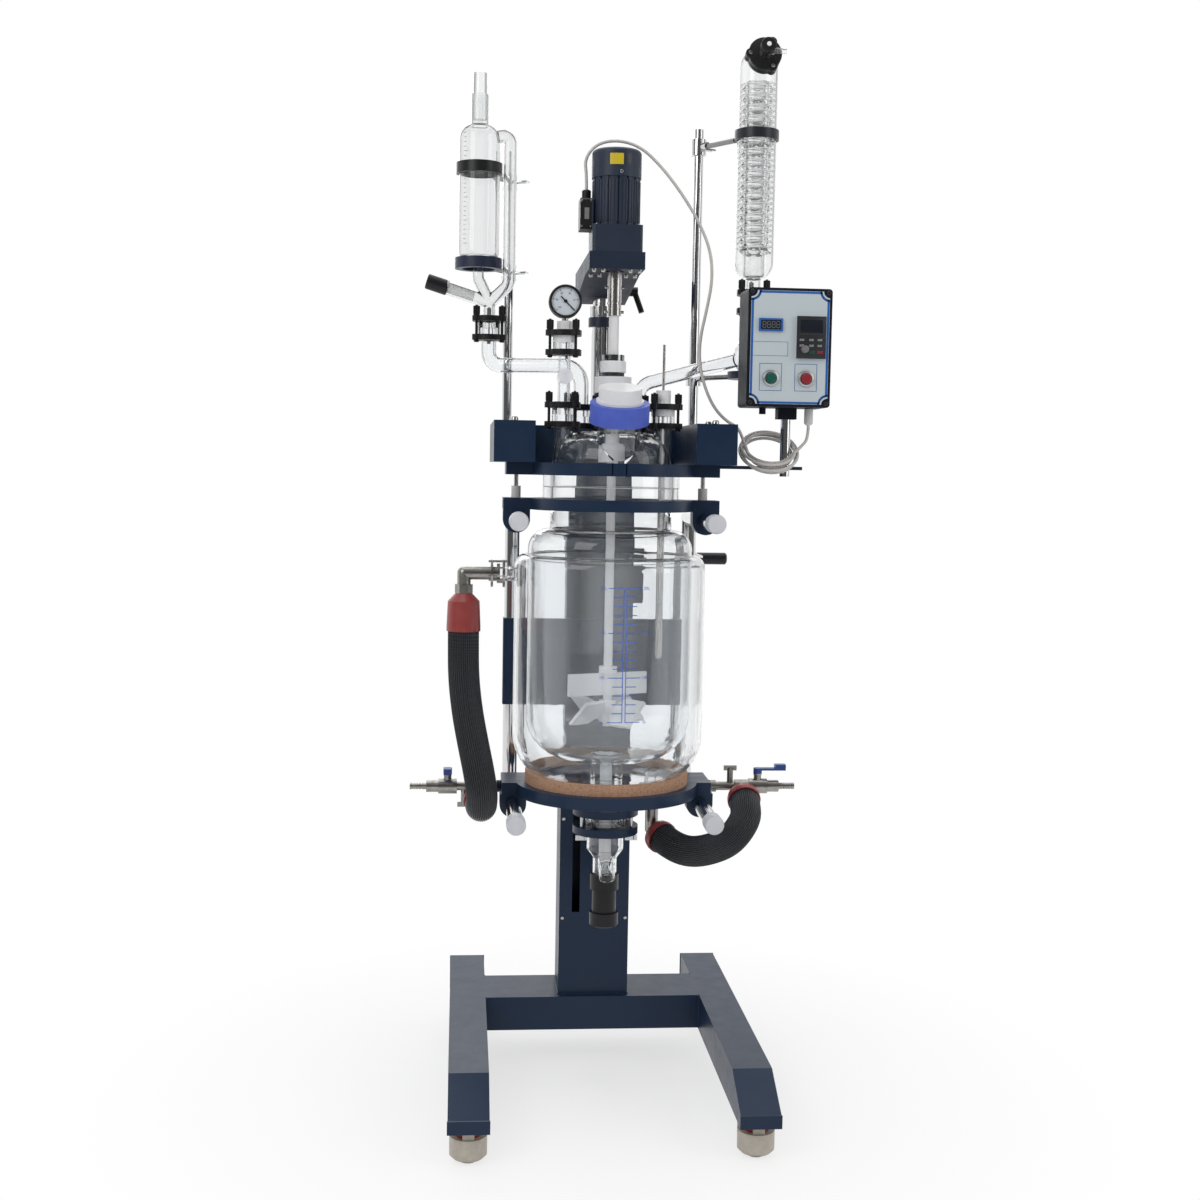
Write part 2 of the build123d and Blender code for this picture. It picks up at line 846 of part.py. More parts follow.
def support_rods():
    """Two thin rods, the drive pole with its collar, the control box's pole and the rod clamps."""
    pieces = [
        thin_rod(-rod_x, rod_left_length, rod_left_free),
        thin_rod(rod_x, rod_right_length, rod_right_free),
        rod(0, frame_y, arm_top, arm_top + drive_pole_length, drive_pole_r),
    ]
    collar_top = bracket_top - collar_drop
    collar = rod(0, frame_y, collar_top - 2 * collar_height, collar_top, collar_r)
    groove = rod(0, frame_y, collar_top - collar_height - 1, collar_top - collar_height + 1, collar_r)
    groove -= rod(0, frame_y, collar_top - collar_height - 1, collar_top - collar_height + 1, collar_r - 1.5)
    pieces.append(collar - groove - rod(0, frame_y, arm_top, collar_top, drive_pole_r + seat_gap))
    pole_x = box_x + 9
    low = control_bar_top - control_bar_thickness - 12
    pieces.append(rod(pole_x, 0, low, box_bottom - 20, control_pole_r))
    for x, z, centre, _ in holder_places:
        toward = (centre[0] - x, centre[1] - rod_y, 0)
        pieces.append(rod_clamp(x, z, toward))
    return group(*pieces)


def holder(x, z, centre, ring_r, ring_solid):
    """Ring round the glass with the rod that joins it to its rod clamp."""
    start = Vector(x, rod_y, z)
    middle = Vector(*centre, z)
    toward = (middle - start).normalized()
    root = start + toward * (boss_r + 10 + seat_gap)
    tip = middle - toward * (ring_r - 1)
    return ring_solid + bar(tuple(root), tuple(tip), holder_rod_r)


def ring_at(centre, low, high, r, bore):
    """Plain ring about a glass axis."""
    return rod(*centre, low, high, r) - rod(*centre, low, high, bore)


def glass_holders():
    """Band and support ring of the funnel, clamp ring of the condenser and support ring of the bulb."""
    funnel = (funnel_x, funnel_y)
    condenser = (condenser_x, condenser_y)
    band = ring_at(
        funnel, funnel_band_z, funnel_band_z + funnel_band_height, funnel_r + holder_wall, funnel_r + running_gap,
    )
    seat = ring_at(funnel, funnel_ring_top - funnel_ring_height, funnel_ring_top - running_gap, funnel_ring_r,
                   funnel_ring_bore_r)
    clamp = ring_at(
        condenser, condenser_ring_z, condenser_ring_z + condenser_ring_height,
        condenser_r + holder_wall, condenser_r + running_gap,
    )
    cradle = ring_at(condenser, bulb_ring_top - bulb_ring_height, bulb_ring_top, bulb_ring_r, bulb_ring_bore_r)
    bulb_room = Pos(condenser_x, condenser_y, bulb_z) * Sphere(bulb_r + running_gap)
    rings = [band, seat, clamp, cradle]
    radii = [funnel_r + holder_wall, funnel_ring_r, condenser_r + holder_wall, bulb_ring_r]
    pieces = []
    for (x, z, centre, _), ring_solid, ring_r in zip(holder_places, rings, radii):
        pieces.append(holder(x, z, centre, ring_r, ring_solid))
    pieces[3] -= bulb_room
    return group(*pieces)


# Vessel and lid

drain_place = (drain_place_x, drain_place_y)
drain_low = jacket_bottom - drain_length


def vessel_glass():
    """Inner vessel, jacket, flange, jacket ports and bottom outlet in one piece of glass."""
    outer = knuckled_barrel(
        inner_r, inner_bottom - vessel_wall, shoulder_top, bore_knuckle_r + vessel_wall, shoulder_r)
    jacket = knuckled_barrel(jacket_r, jacket_bottom, jacket_top, jacket_knuckle_r, jacket_shoulder_r)
    room = knuckled_barrel(
        jacket_r - vessel_wall, jacket_bottom + vessel_wall, jacket_top - vessel_wall,
        jacket_knuckle_r - vessel_wall, jacket_shoulder_r - vessel_wall,
    )
    outlet_top = inner_bottom - vessel_wall
    outlet_low = outlet_end
    outlet = rod(0, 0, outlet_low, outlet_top, outlet_r)
    port_tip = -port_end
    port = bar((port_tip, 0, port_z), (-inner_r - 8, 0, port_z), port_r)
    port += bar((port_tip, 0, port_z), (port_tip + port_flange_thickness, 0, port_z), port_flange_r)
    drain = rod(*drain_place, drain_low, jacket_bottom + 14, port_r)
    drain += rod(*drain_place, drain_low, drain_low + port_flange_thickness, port_flange_r)
    jacket_room = room - outer - outlet
    glass = outer + jacket + outlet + port + drain
    glass += rod(0, 0, shoulder_top - 6, vessel_top, neck_r)
    glass += rod(0, 0, neck_ring_top, vessel_top, flange_r)
    glass += rod(0, 0, outlet_low, outlet_low + outlet_flange_thickness, outlet_flange_r)
    bore = knuckled_barrel(
        vessel_bore_r, inner_bottom, shoulder_top - vessel_wall, bore_knuckle_r, shoulder_r - vessel_wall)
    bore += rod(0, 0, shoulder_top - 12, vessel_top, neck_r - vessel_wall)
    bore += rod(0, 0, outlet_low, inner_bottom + 2, outlet_bore_r)
    glass -= jacket_room
    glass -= bar((port_tip, 0, port_z), (-inner_r - 4, 0, port_z), port_bore_r)
    glass -= rod(*drain_place, drain_low, jacket_bottom + 30, port_bore_r)
    return glass - bore


def lid_glass():
    """Glass lid: flange, low dome, four side necks, centre neck and the tilted front port."""
    dome_top = lid_flange_top + lid_height
    glass = rod(0, 0, lid_flange_bottom, lid_flange_top, flange_r)
    dome = rod(0, 0, lid_flange_bottom, dome_top, lid_wall_r)
    glass += fillet(dome.edges().group_by(Axis.Z)[-1], lid_dome_r)
    neck_low = dome_top - lid_dome_r
    neck_places = [(0, 0), riser_neck, probe_neck, funnel_neck, reflux_neck]
    port = front_port_plane * Pos(0, 0, -front_port_tube_length) * Cylinder(
        front_port_tube_r, front_port_tube_length, align=BOTTOM)
    port += front_port_plane * Pos(0, 0, -front_port_flange_height) * Cylinder(
        front_port_flange_r, front_port_flange_height, align=BOTTOM)
    for x, y in neck_places:
        glass += rod(x, y, neck_low, neck_joint_z - 1, joint_tube_r)
        glass += glass_end(x, y, neck_joint_z, -1)
    glass += port
    hollow = rod(0, 0, lid_flange_bottom, dome_top - vessel_wall, lid_wall_r - vessel_wall)
    hollow = fillet(hollow.edges().group_by(Axis.Z)[-1], lid_dome_r - vessel_wall)
    for x, y in neck_places:
        hollow += rod(x, y, neck_low - 8, neck_joint_z, joint_tube_r - glass_wall)
    port_bore = Pos(0, 0, -front_port_tube_length - 6) * Cylinder(
        front_port_tube_r - glass_wall, front_port_tube_length + 6, align=BOTTOM)
    return glass - hollow - front_port_plane * port_bore


port_direction = Vector(0, -sin(radians(port_tilt)), cos(radians(port_tilt)))
port_middle = Vector(front_port_x, front_port_y, lid_flange_top + front_port_rise)
port_ring_top = seat_gap + port_plug_flange_height + running_gap + port_ring_lip
front_port_plane = Plane(
    origin=port_middle + port_direction * (port_ring_height / 2 - port_ring_top),
    x_dir=(1, 0, 0), z_dir=port_direction,
)


def port_ring():
    """Blue screw ring that holds the front port's plug down by an inner lip."""
    low = port_ring_top - port_ring_height
    ring = Pos(0, 0, low) * Cylinder(port_ring_r, port_ring_height, align=BOTTOM)
    ring -= Pos(0, 0, low) * Cylinder(
        port_plug_flange_r + running_gap, port_ring_height - port_ring_lip, align=BOTTOM)
    ring -= Pos(0, 0, low) * Cylinder(port_plug_r + running_gap, port_ring_height + 1, align=BOTTOM)
    return front_port_plane * ring


def ptfe_fittings():
    """White pieces: gasket, shaft seal, bushing, probe plug, gauge adaptor and front port plug."""
    gasket = ring_at((0, 0), lid_flange_bottom - gasket_thickness, lid_flange_bottom, flange_r - 1, neck_r - 4)
    seal = rod(0, 0, shaft_top + seal_foot_height, shaft_top + seal_base_height, seal_base_r)
    seal += rod(0, 0, shaft_top, shaft_top + seal_foot_height, seal_foot_r)
    z = shaft_top + seal_base_height
    seal += rod(0, 0, z, z + seal_groove_height, seal_groove_r)
    z += seal_groove_height
    seal += rod(0, 0, z, z + seal_body_height, seal_body_r)
    z += seal_body_height
    seal += rod(0, 0, z, z + seal_cap_height, seal_groove_r)
    seal += rod(0, 0, neck_joint_z + seat_gap, shaft_top, joint_tube_r)
    seal += rod(0, 0, neck_joint_z + seat_gap, neck_joint_z + joint_flange_thickness, joint_flange_r)
    tip_low = lid_flange_top + 24
    seal += rod(0, 0, tip_low + bushing_tip_height, neck_joint_z + seat_gap, bushing_r - seat_gap)
    tip = rod(0, 0, tip_low, tip_low + bushing_tip_height, bushing_tip_r)
    seal += chamfer(tip.edges().group_by(Axis.Z)[-1], 4.0)
    seal -= rod(0, 0, tip_low - 1, z + seal_cap_height + 1, shaft_r + running_gap)
    x, y = probe_neck
    plug = glass_end(x, y, neck_joint_z, 1)
    plug += rod(x, y, neck_joint_z + joint_flange_thickness, neck_joint_z + 46, bushing_r)
    plug -= rod(x, y, neck_joint_z - 1, neck_joint_z + 60, probe_r + seat_gap)
    x, y = riser_neck
    adaptor = glass_end(x, y, gauge_joint_z, 1)
    hex_low = gauge_joint_z + joint_flange_thickness + joint_plate_thickness + 1
    hexagon = RegularPolygon(gauge_hex_width / 2, 6, major_radius=False)
    adaptor += Pos(x, y, hex_low) * extrude(hexagon, gauge_hex_height)
    flange = Cylinder(port_plug_flange_r, port_plug_flange_height, align=BOTTOM)
    front_plug = Pos(0, 0, seat_gap) * flange
    front_plug += Cylinder(port_plug_r, port_plug_flange_height + port_plug_height, align=BOTTOM)
    front_plug -= Cylinder(port_plug_r + 1, seat_gap, align=BOTTOM)
    front_plug += Pos(0, 0, port_ring_top + running_gap) * Cylinder(
        port_collar_r, port_ring_lip, align=BOTTOM)
    front_plug = front_port_plane * front_plug
    return group(gasket, seal, plug, adaptor, front_plug)


probe_r = 2.4
probe_sleeve_r = 6.5
probe_top_rise = 127.0
probe_tip_drop = 328.0


def probe():
    """Temperature probe: thin steel rod above the plug and its closed sleeve in the vessel."""
    x, y = probe_neck
    stem = rod(x, y, neck_joint_z - 14, neck_joint_z + probe_top_rise, probe_r)
    tip = lid_flange_top - probe_tip_drop
    sleeve = rod(x, y, tip, neck_joint_z - 14, probe_sleeve_r)
    return stem + fillet(sleeve.edges().group_by(Axis.Z)[0], probe_sleeve_r * 0.9)


# Lift: rings, side frames and carriage

def ring_lugs(ring_bottom, tube_z):
    """U lugs of a lift ring, bored for the side tubes."""
    lugs = []
    for side in (-1, 1):
        x = side * side_tube_x
        half = lug_width / 2
        lug = block(x - half, x + half, lug_front, lug_front + lug_depth, tube_z, ring_bottom + 1)
        lug += bar((x, lug_front, tube_z), (x, lug_front + lug_depth, tube_z), half)
        lug -= bar((x, lug_front, tube_z), (x, lug_front + lug_depth, tube_z), side_tube_r + seat_gap)
        lugs.append(lug)
    return lugs[0] + lugs[1]


def neck_ring():
    """Ring under the vessel's flange, with lugs on the side tubes."""
    ring = rod(0, 0, neck_ring_bottom, neck_ring_top, neck_ring_r)
    lug_end = side_tube_x + lug_width / 2
    ring += block(-lug_end, lug_end, lug_front, lug_front + lug_depth, neck_ring_bottom, neck_ring_top)
    ring += block(-lug_end, lug_end, ear_front / 2, ear_back, neck_ring_bottom, neck_ring_top)
    ring += ring_lugs(neck_ring_bottom, upper_tube_z)
    return ring - rod(0, 0, neck_ring_bottom, neck_ring_top, neck_r + ring_play)


def base_ring():
    """Ring that carries the cork and the vessel, with ears, lugs and bosses for the manifolds."""
    ring = rod(0, 0, base_ring_bottom, base_ring_top, base_ring_r)
    ears = block(-ear_end, ear_end, lug_front, base_ear_back, base_ring_bottom, base_ring_top)
    ring += ears
    ring += ring_lugs(base_ring_bottom, lower_tube_z)
    ring -= rod(0, 0, base_ring_bottom, base_ring_top, base_ring_bore_r)
    for side in (-1, 1):
        root = (side * (side_tube_x + side_tube_r + 1), manifold_y, manifold_z)
        tip = (side * manifold_boss_end, manifold_y, manifold_z)
        ring += bar(root, tip, manifold_boss_r)
        ring -= bar(root, tip, pipe_r + seat_gap)
    return ring


def cork_ring():
    """Cork seat, hollowed to the curve of the jacket's bottom."""
    ring = rod(0, 0, base_ring_top, cork_top, cork_r) - rod(0, 0, base_ring_top, cork_top, cork_bore_r)
    seat = knuckled_barrel(
        jacket_r + running_gap, jacket_bottom - running_gap, jacket_top,
        jacket_knuckle_r + running_gap, jacket_shoulder_r,
    )
    return ring - seat


def side_frame(side):
    """Welded side frame: upper and lower fore-and-aft tubes joined by an upright post."""
    x = side * side_tube_x
    def cores(r, inset):
        back = post_y + side_tube_r - inset
        upper = bar((x, side_tube_front, upper_tube_z), (x, back, upper_tube_z), r)
        lower = bar((x, lower_tube_front, lower_tube_z), (x, back, lower_tube_z), r)
        return upper + lower + rod(x, post_y, lower_tube_z, upper_tube_z, r)
    return cores(side_tube_r, 0) - cores(side_tube_r - side_tube_wall, side_tube_wall)


def lift_posts():
    """Both side frames and the frosted caps in their open front ends."""
    pieces = [side_frame(-1), side_frame(1)]
    for side in (-1, 1):
        x = side * side_tube_x
        for front, z in ((side_tube_front, upper_tube_z), (lower_tube_front, lower_tube_z)):
            cap = bar((x, front - end_cap_length, z), (x, front, z), side_tube_r + end_cap_lip)
            cap += bar((x, front, z), (x, front + 12, z), side_tube_r - side_tube_wall - seat_gap)
            pieces.append(cap)
    return group(*pieces)


def carriage():
    """Cross plate with a sleeve round each post, its block and the tongue in the column's slot."""
    half = side_tube_x
    low = plate_middle_z - plate_height / 2
    plate_back = plate_front + plate_thickness
    plate = block(-half, half, plate_front, plate_back, low, low + plate_height)
    half_sleeve = sleeve_width / 2
    for side in (-1, 1):
        x = side * side_tube_x
        sleeve = block(
            x - half_sleeve, x + half_sleeve, post_y - half_sleeve, post_y + half_sleeve,
            low, low + plate_height,
        )
        plate += chamfer(sleeve.edges().filter_by(Axis.Z), 2.0)
        plate -= rod(x, post_y, low, low + plate_height, side_tube_r + seat_gap)
    half_block = carriage_block_width / 2
    middle = plate_middle_z
    plate += block(
        -half_block, half_block, plate_back, column_front - running_gap,
        middle - carriage_block_height / 2, middle + carriage_block_height / 2,
    )
    tongue_half = slot_width / 2 - running_gap
    plate += block(
        slot_x - tongue_half, slot_x + tongue_half, column_front - running_gap, column_front + tongue_depth,
        middle - tongue_height / 2, middle + tongue_height / 2,
    )
    return plate


def lift_fasteners():
    """Spacer studs with white sleeves between the rings, and the bolts of the discharge rings."""
    pieces = []
    for side in (-1, 1):
        x = side * side_tube_x
        stud = rod(x, stud_y, neck_ring_top, neck_ring_top + sleeve_height, sleeve_r)
        stud += rod(x, stud_y, neck_ring_top, lid_flange_top - running_gap, stud_r)
        pieces.append(stud)
    top = outlet_end + outlet_flange_thickness + discharge_ring_thickness
    low = outlet_end - outlet_flange_thickness - discharge_ring_thickness
    for turn in range(3):
        x, y = polar(discharge_bolt_pitch_r, 90 + 120 * turn)
        bolt = rod(x, y, low - 8, top + 5, 3.0)
        bolt += rod(x, y, top, top + 5, 6.0)
        bolt += rod(x, y, low - 8, low, 6.0)
        bolt += block(x - 11, x + 11, y - 1.5, y + 1.5, low - 10, low - 1)
        pieces.append(bolt)
    return group(*pieces)


# Discharge valve

def discharge_rings():
    """Two flat rings that clamp the discharge valve to the vessel's outlet."""
    upper_low = outlet_end + outlet_flange_thickness
    lower_high = outlet_end - outlet_flange_thickness
    pieces = []
    for low, bore in (
        (upper_low, outlet_r + 1), (lower_high - discharge_ring_thickness, discharge_body_r + 0.5),
    ):
        ring = ring_at((0, 0), low, low + discharge_ring_thickness, discharge_ring_r, bore)
        for turn in range(3):
            x, y = polar(discharge_bolt_pitch_r, 90 + 120 * turn)
            ring -= rod(x, y, low, low + discharge_ring_thickness, 3.0 + seat_gap)
        pieces.append(ring)
    return group(*pieces)


discharge_top = outlet_end - seat_gap
discharge_shoulder = discharge_top - discharge_body_length
discharge_low = discharge_shoulder - discharge_neck_length
nozzle_direction = Vector(0, -cos(radians(discharge_nozzle_tilt)), -sin(radians(discharge_nozzle_tilt)))
nozzle_root = Vector(0, 0, discharge_shoulder)
nozzle_tip = nozzle_root + nozzle_direction * discharge_nozzle_length


def discharge_glass():
    """Glass valve body with its flange, tapered neck and front nozzle."""
    def outline(cut, low, high):
        return lathe(
            (0, high), (discharge_body_r - cut, high), (discharge_body_r - cut, discharge_shoulder),
            (discharge_neck_r - cut, discharge_shoulder - 16), (discharge_neck_r - cut, low), (0, low),
        )
    body = outline(0, discharge_low, discharge_top)
    body += rod(0, 0, discharge_top - outlet_flange_thickness + seat_gap, discharge_top, outlet_flange_r)
    body += bar(tuple(nozzle_root), tuple(nozzle_tip), discharge_nozzle_r)
    bead_end = nozzle_tip - nozzle_direction * nozzle_land
    body += bar(tuple(bead_end - nozzle_direction * nozzle_bead_width), tuple(bead_end), nozzle_bead_r)
    body -= outline(glass_wall, discharge_low, discharge_top)
    return body - bar(tuple(nozzle_root), tuple(nozzle_tip), discharge_nozzle_r - glass_wall)


sleeve_top = discharge_low
sleeve_bottom = sleeve_top - discharge_collar_height + 12 - discharge_sleeve_length


def discharge_collar():
    """Black collar and sleeve screwed to the valve body."""
    collar = rod(0, 0, sleeve_top - discharge_collar_height + 12, sleeve_top + 12, discharge_collar_r)
    collar -= rod(0, 0, sleeve_top, sleeve_top + 12, discharge_neck_r + seat_gap)
    collar += rod(0, 0, sleeve_bottom, sleeve_top, discharge_collar_r - 4)
    return collar - rod(0, 0, sleeve_bottom, sleeve_top, plunger_r + running_gap)


def discharge_knob():
    """Black hand knob with the PTFE plunger that closes the vessel's outlet."""
    top = sleeve_bottom - running_gap
    knob = rod(0, 0, top - discharge_knob_height, top, discharge_knob_r)
    knob = chamfer(knob.edges().group_by(Axis.Z)[0], 3.0)
    plunger_top = inner_bottom - 2
    knob += rod(0, 0, top, plunger_top, plunger_r)
    head_low = plunger_top - plunger_head_height
    return knob + rod(0, 0, head_low, plunger_top, outlet_bore_r - running_gap)


# Stirrer and drive

stirrer_top = coupling_bottom
stirrer_bottom = coupling_bottom - upper_sleeve_length - stirrer_length


def stirrer():
    """PTFE shaft with its upper sleeve, flat paddle and four pitched blades."""
    shaft = rod(0, 0, stirrer_bottom, stirrer_top, shaft_r)
    shaft += rod(0, 0, seal_top + running_gap, stirrer_top, upper_sleeve_r)
    paddle_low = stirrer_bottom + paddle_rise
    paddle = Pos(0, 0, paddle_low + paddle_height / 2) * Rot(0, 0, paddle_turn) * Box(
        paddle_span, paddle_thickness, paddle_height)
    hub = rod(0, 0, paddle_low + paddle_height, paddle_low + paddle_height + hub_height, hub_r)
    shaft += paddle + hub
    shaft += rod(0, 0, paddle_low, paddle_low + paddle_height, shaft_r + 4)
    pitched_z = stirrer_bottom + pitched_hub_height / 2 + 8
    shaft += rod(0, 0, pitched_z - pitched_hub_height / 2, pitched_z + pitched_hub_height / 2, pitched_hub_r)
    half_root, half_tip = pitched_root / 2, pitched_width / 2
    start = pitched_hub_r * 2 / 3
    shape = make_face(Polyline(
        (start, -half_root), (pitched_hub_r, -half_root), (2 * pitched_hub_r, -half_tip),
        (pitched_reach, -half_tip), (pitched_reach, half_tip), (2 * pitched_hub_r, half_tip),
        (pitched_hub_r, half_root), (start, half_root), close=True,
    ))
    blade = Pos(0, 0, -pitched_thickness / 2) * extrude(shape, pitched_thickness)
    for turn in range(4):
        shaft += Pos(0, 0, pitched_z) * Rot(0, 0, pitched_turn + 90 * turn) * Rot(pitched_angle, 0, 0) * blade
    return shaft


def stirrer_coupling():
    """Steel coupling between the gearhead's shaft and the stirrer, with set screws."""
    coupling = rod(0, 0, coupling_bottom, bracket_top - running_gap, coupling_r)
    coupling -= rod(0, 0, coupling_bottom + 20, coupling_bottom + 24, coupling_r) - rod(
        0, 0, coupling_bottom + 20, coupling_bottom + 24, coupling_r - 1.5)
    for z in (coupling_bottom + 7, coupling_bottom + 50):
        coupling += bar((-coupling_screw_reach, 0, z), (coupling_screw_reach, 0, z), coupling_screw_r)
    return coupling


def drive_bracket():
    """Cantilever bracket: front mounting block, top plate, sloped sides and the pole clamp."""
    half = bracket_width / 2
    back = frame_y + bracket_overhang
    rear_low = bracket_top - bracket_drop
    side_points = [
        (bracket_front, bracket_bottom), (45, bracket_bottom), (back, rear_low), (back, bracket_top),
        (bracket_front, bracket_top),
    ]
    outline = make_face(Polyline(*[(-half, y, z) for y, z in side_points], close=True))
    body = extrude(outline, amount=bracket_width, dir=(1, 0, 0))
    inner = half - bracket_wall
    body -= block(-inner, inner, 45, back - clamp_block_length, rear_low - 5, bracket_top - bracket_top_thickness)
    body -= rod(0, frame_y, rear_low - 40, arm_top + drive_pole_length, drive_pole_r + seat_gap)
    body -= rod(0, 0, bracket_bottom, bracket_top, coupling_r + 4)
    body -= bar((half - 22, frame_y, lever_z), (half, frame_y, lever_z), 5.0 + 0.05)
    return body


lever_z = bracket_top - bracket_drop + 22


def clamp_lever():
    """Black clamp lever whose screw grips the drive pole."""
    half = bracket_width / 2
    screw = bar((half - 20, frame_y, lever_z), (half, frame_y, lever_z), 5.0)
    start = half + running_gap
    boss = bar((half, frame_y, lever_z), (start + lever_boss_length, frame_y, lever_z), lever_boss_r)
    boss -= bar((half, frame_y, lever_z), (start, frame_y, lever_z), lever_boss_r + 1)
    screw += bar((half, frame_y, lever_z), (start + 1, frame_y, lever_z), 5.0)
    root = (start + lever_boss_length - 6, frame_y, lever_z)
    tip = (start + lever_boss_length + 8, frame_y - 6, lever_z - lever_length)
    return screw + boss + bar(root, tip, 5.5)


def gear_motor():
    """Gearhead, ribbed motor body and cap, with the junction box and its gland on the left."""
    half = gearhead_width / 2
    head = block(-half, half, -half, half, bracket_top, gearhead_top)
    head = fillet(head.edges().filter_by(Axis.Z), 6.0)
    outline = Circle(motor_r)
    for turn in range(motor_rib_count):
        x, y = polar(motor_r, 360 / motor_rib_count * turn)
        groove = Rot(0, 0, 360 / motor_rib_count * turn) * Rectangle(2 * motor_rib_depth, 4)
        outline -= Pos(x, y) * groove
    body = Pos(0, 0, gearhead_top) * extrude(outline, motor_body_height)
    cap = rod(0, 0, motor_top, motor_top + motor_cap_height, motor_cap_r)
    cap = fillet(cap.edges().group_by(Axis.Z)[-1], motor_cap_round)
    right = -motor_r + 1
    low = gearhead_top - 7
    left = right - junction_width
    box = block(left, right - 1, -junction_depth / 2, junction_depth / 2, low, low + junction_height)
    box = chamfer(box.edges().filter_by(Axis.X), 3.0)
    box += block(right - 2, right + 4, -12, 12, low + 12, low + junction_height - 12)
    box -= head + body
    gland_x = gland_place[0]
    gland = rod(gland_x, 0, low + junction_height, low + junction_height + gland_length, gland_r)
    gland = chamfer(gland.edges().group_by(Axis.Z)[-1], 2.0)
    gland -= rod(gland_x, 0, low + junction_height + 6, low + junction_height + gland_length, cable_r + seat_gap)
    return group(head + body + cap, box + gland)


gland_place = (-motor_r - junction_width / 2 + 1, 0, gearhead_top - 7 + junction_height + gland_length)


# Glassware

branch = Vector(-cos(radians(funnel_valve_tilt)), 0, sin(radians(funnel_valve_tilt)))
branch_root = Vector(funnel_joint_x, funnel_y, funnel_bottom - funnel_meet_drop)


def funnel_glass():
    """Dropping funnel: graduated body, ground neck, pressure side arm, valve branch and stopper."""
    centre = (funnel_x, funnel_y)
    top = funnel_bottom + funnel_body_height
    body = Pos(*centre, 0) * knuckled_barrel(funnel_r, funnel_bottom, top, 10.0, 26.0)
    room = Pos(*centre, 0) * knuckled_barrel(
        funnel_r - glass_wall, funnel_bottom + glass_wall, top - glass_wall, 7.0, 23.0)
    neck = rod(*centre, top - 6, top + funnel_neck_height - stopper_height / 2, funnel_neck_r)
    neck_bore = rod(*centre, top - 10, top + funnel_neck_height, funnel_neck_r - glass_wall)
    stem_low = (funnel_joint_x, funnel_y, funnel_joint_z + joint_flange_thickness)
    meet = (funnel_joint_x, funnel_y, funnel_bottom - funnel_meet_drop)
    stem = [(funnel_x, funnel_y, funnel_bottom + 2), (funnel_x, funnel_y, funnel_bottom - 36), meet, stem_low]
    stem_bends = [10.0, 12.0]
    arm = [
        (funnel_x + 20, funnel_y, top - 24), (side_arm_x, funnel_y, top - 16),
        (side_arm_x, funnel_y, funnel_bottom - 46), meet,
    ]
    arm_bends = [13.0, 24.0]
    branch_tip = branch_root + branch * funnel_branch_length
    glass = body + neck + bent_tube(stem, stem_bends, funnel_stem_r)
    glass += bent_tube(arm, arm_bends, side_arm_r)
    glass += bar(tuple(branch_root), tuple(branch_tip), funnel_valve_r)
    glass += glass_end(funnel_joint_x, funnel_y, funnel_joint_z, 1)
    glass -= room + neck_bore
    glass -= bent_tube(stem, stem_bends, funnel_stem_r - glass_wall)
    glass -= bent_tube(arm, arm_bends, side_arm_r - glass_wall)
    glass -= rod(funnel_joint_x, funnel_y, funnel_joint_z - 1, funnel_joint_z + 30, funnel_stem_r - glass_wall)
    glass -= bar(tuple(branch_root), tuple(branch_tip), funnel_valve_r - glass_wall)
    stopper = rod(*centre, top + funnel_neck_height - stopper_height / 2, top + funnel_neck_height
                  + stopper_height / 2, stopper_r)
    stopper += rod(*centre, top + 8, top + funnel_neck_height, funnel_neck_r - glass_wall - seat_gap)
    return group(glass, stopper)


def funnel_knob():
    """Black valve knob with its PTFE needle in the funnel's branch."""
    root = branch_root
    tip = root + branch * (funnel_branch_length + running_gap)
    knob = bar(tuple(tip), tuple(tip + branch * funnel_knob_length), funnel_knob_r)
    knob = chamfer(knob.edges().filter_by(GeomType.CIRCLE), 1.5)
    needle = bar(tuple(root + branch * 30), tuple(tip + branch * 2), funnel_valve_r - glass_wall - running_gap)
    return knob + needle


def funnel_arm():
    """Elbowed glass arm from the funnel's joint to the rear left neck."""
    x, y = funnel_neck
    run_z = funnel_joint_z - funnel_arm_drop
    points = [
        (funnel_joint_x, funnel_y, funnel_joint_z - joint_flange_thickness), (funnel_joint_x, funnel_y, run_z),
        (x, y, run_z), (x, y, neck_joint_z + joint_flange_thickness),
    ]
    bends = [funnel_arm_bend, 1.5 * funnel_arm_bend]
    arm = bent_tube(points, bends, arm_tube_r)
    arm += glass_end(funnel_joint_x, funnel_y, funnel_joint_z, -1) + glass_end(x, y, neck_joint_z, 1)
    arm -= bent_tube(points, bends, arm_tube_r - glass_wall)
    for px, py, z in ((funnel_joint_x, funnel_y, funnel_joint_z), (x, y, neck_joint_z)):
        arm -= rod(px, py, z - 14, z + 14, arm_tube_r - glass_wall)
    return arm


def gauge_riser():
    """Upright glass tube from the front left neck to the gauge, with a stopcock barrel."""
    x, y = riser_neck
    barrel_z = neck_joint_z + stopcock_rise
    half = stopcock_barrel_length / 2
    riser = rod(x, y, neck_joint_z + 8, gauge_joint_z - 8, riser_tube_r)
    riser += glass_end(x, y, neck_joint_z, 1) + glass_end(x, y, gauge_joint_z, -1)
    riser += bar((x, y - half, barrel_z), (x, y + half, barrel_z), stopcock_barrel_r)
    riser -= rod(x, y, neck_joint_z - 1, gauge_joint_z + 1, riser_tube_r - glass_wall)
    return riser - bar((x, y - half, barrel_z), (x, y + half, barrel_z), stopcock_key_r + running_gap)


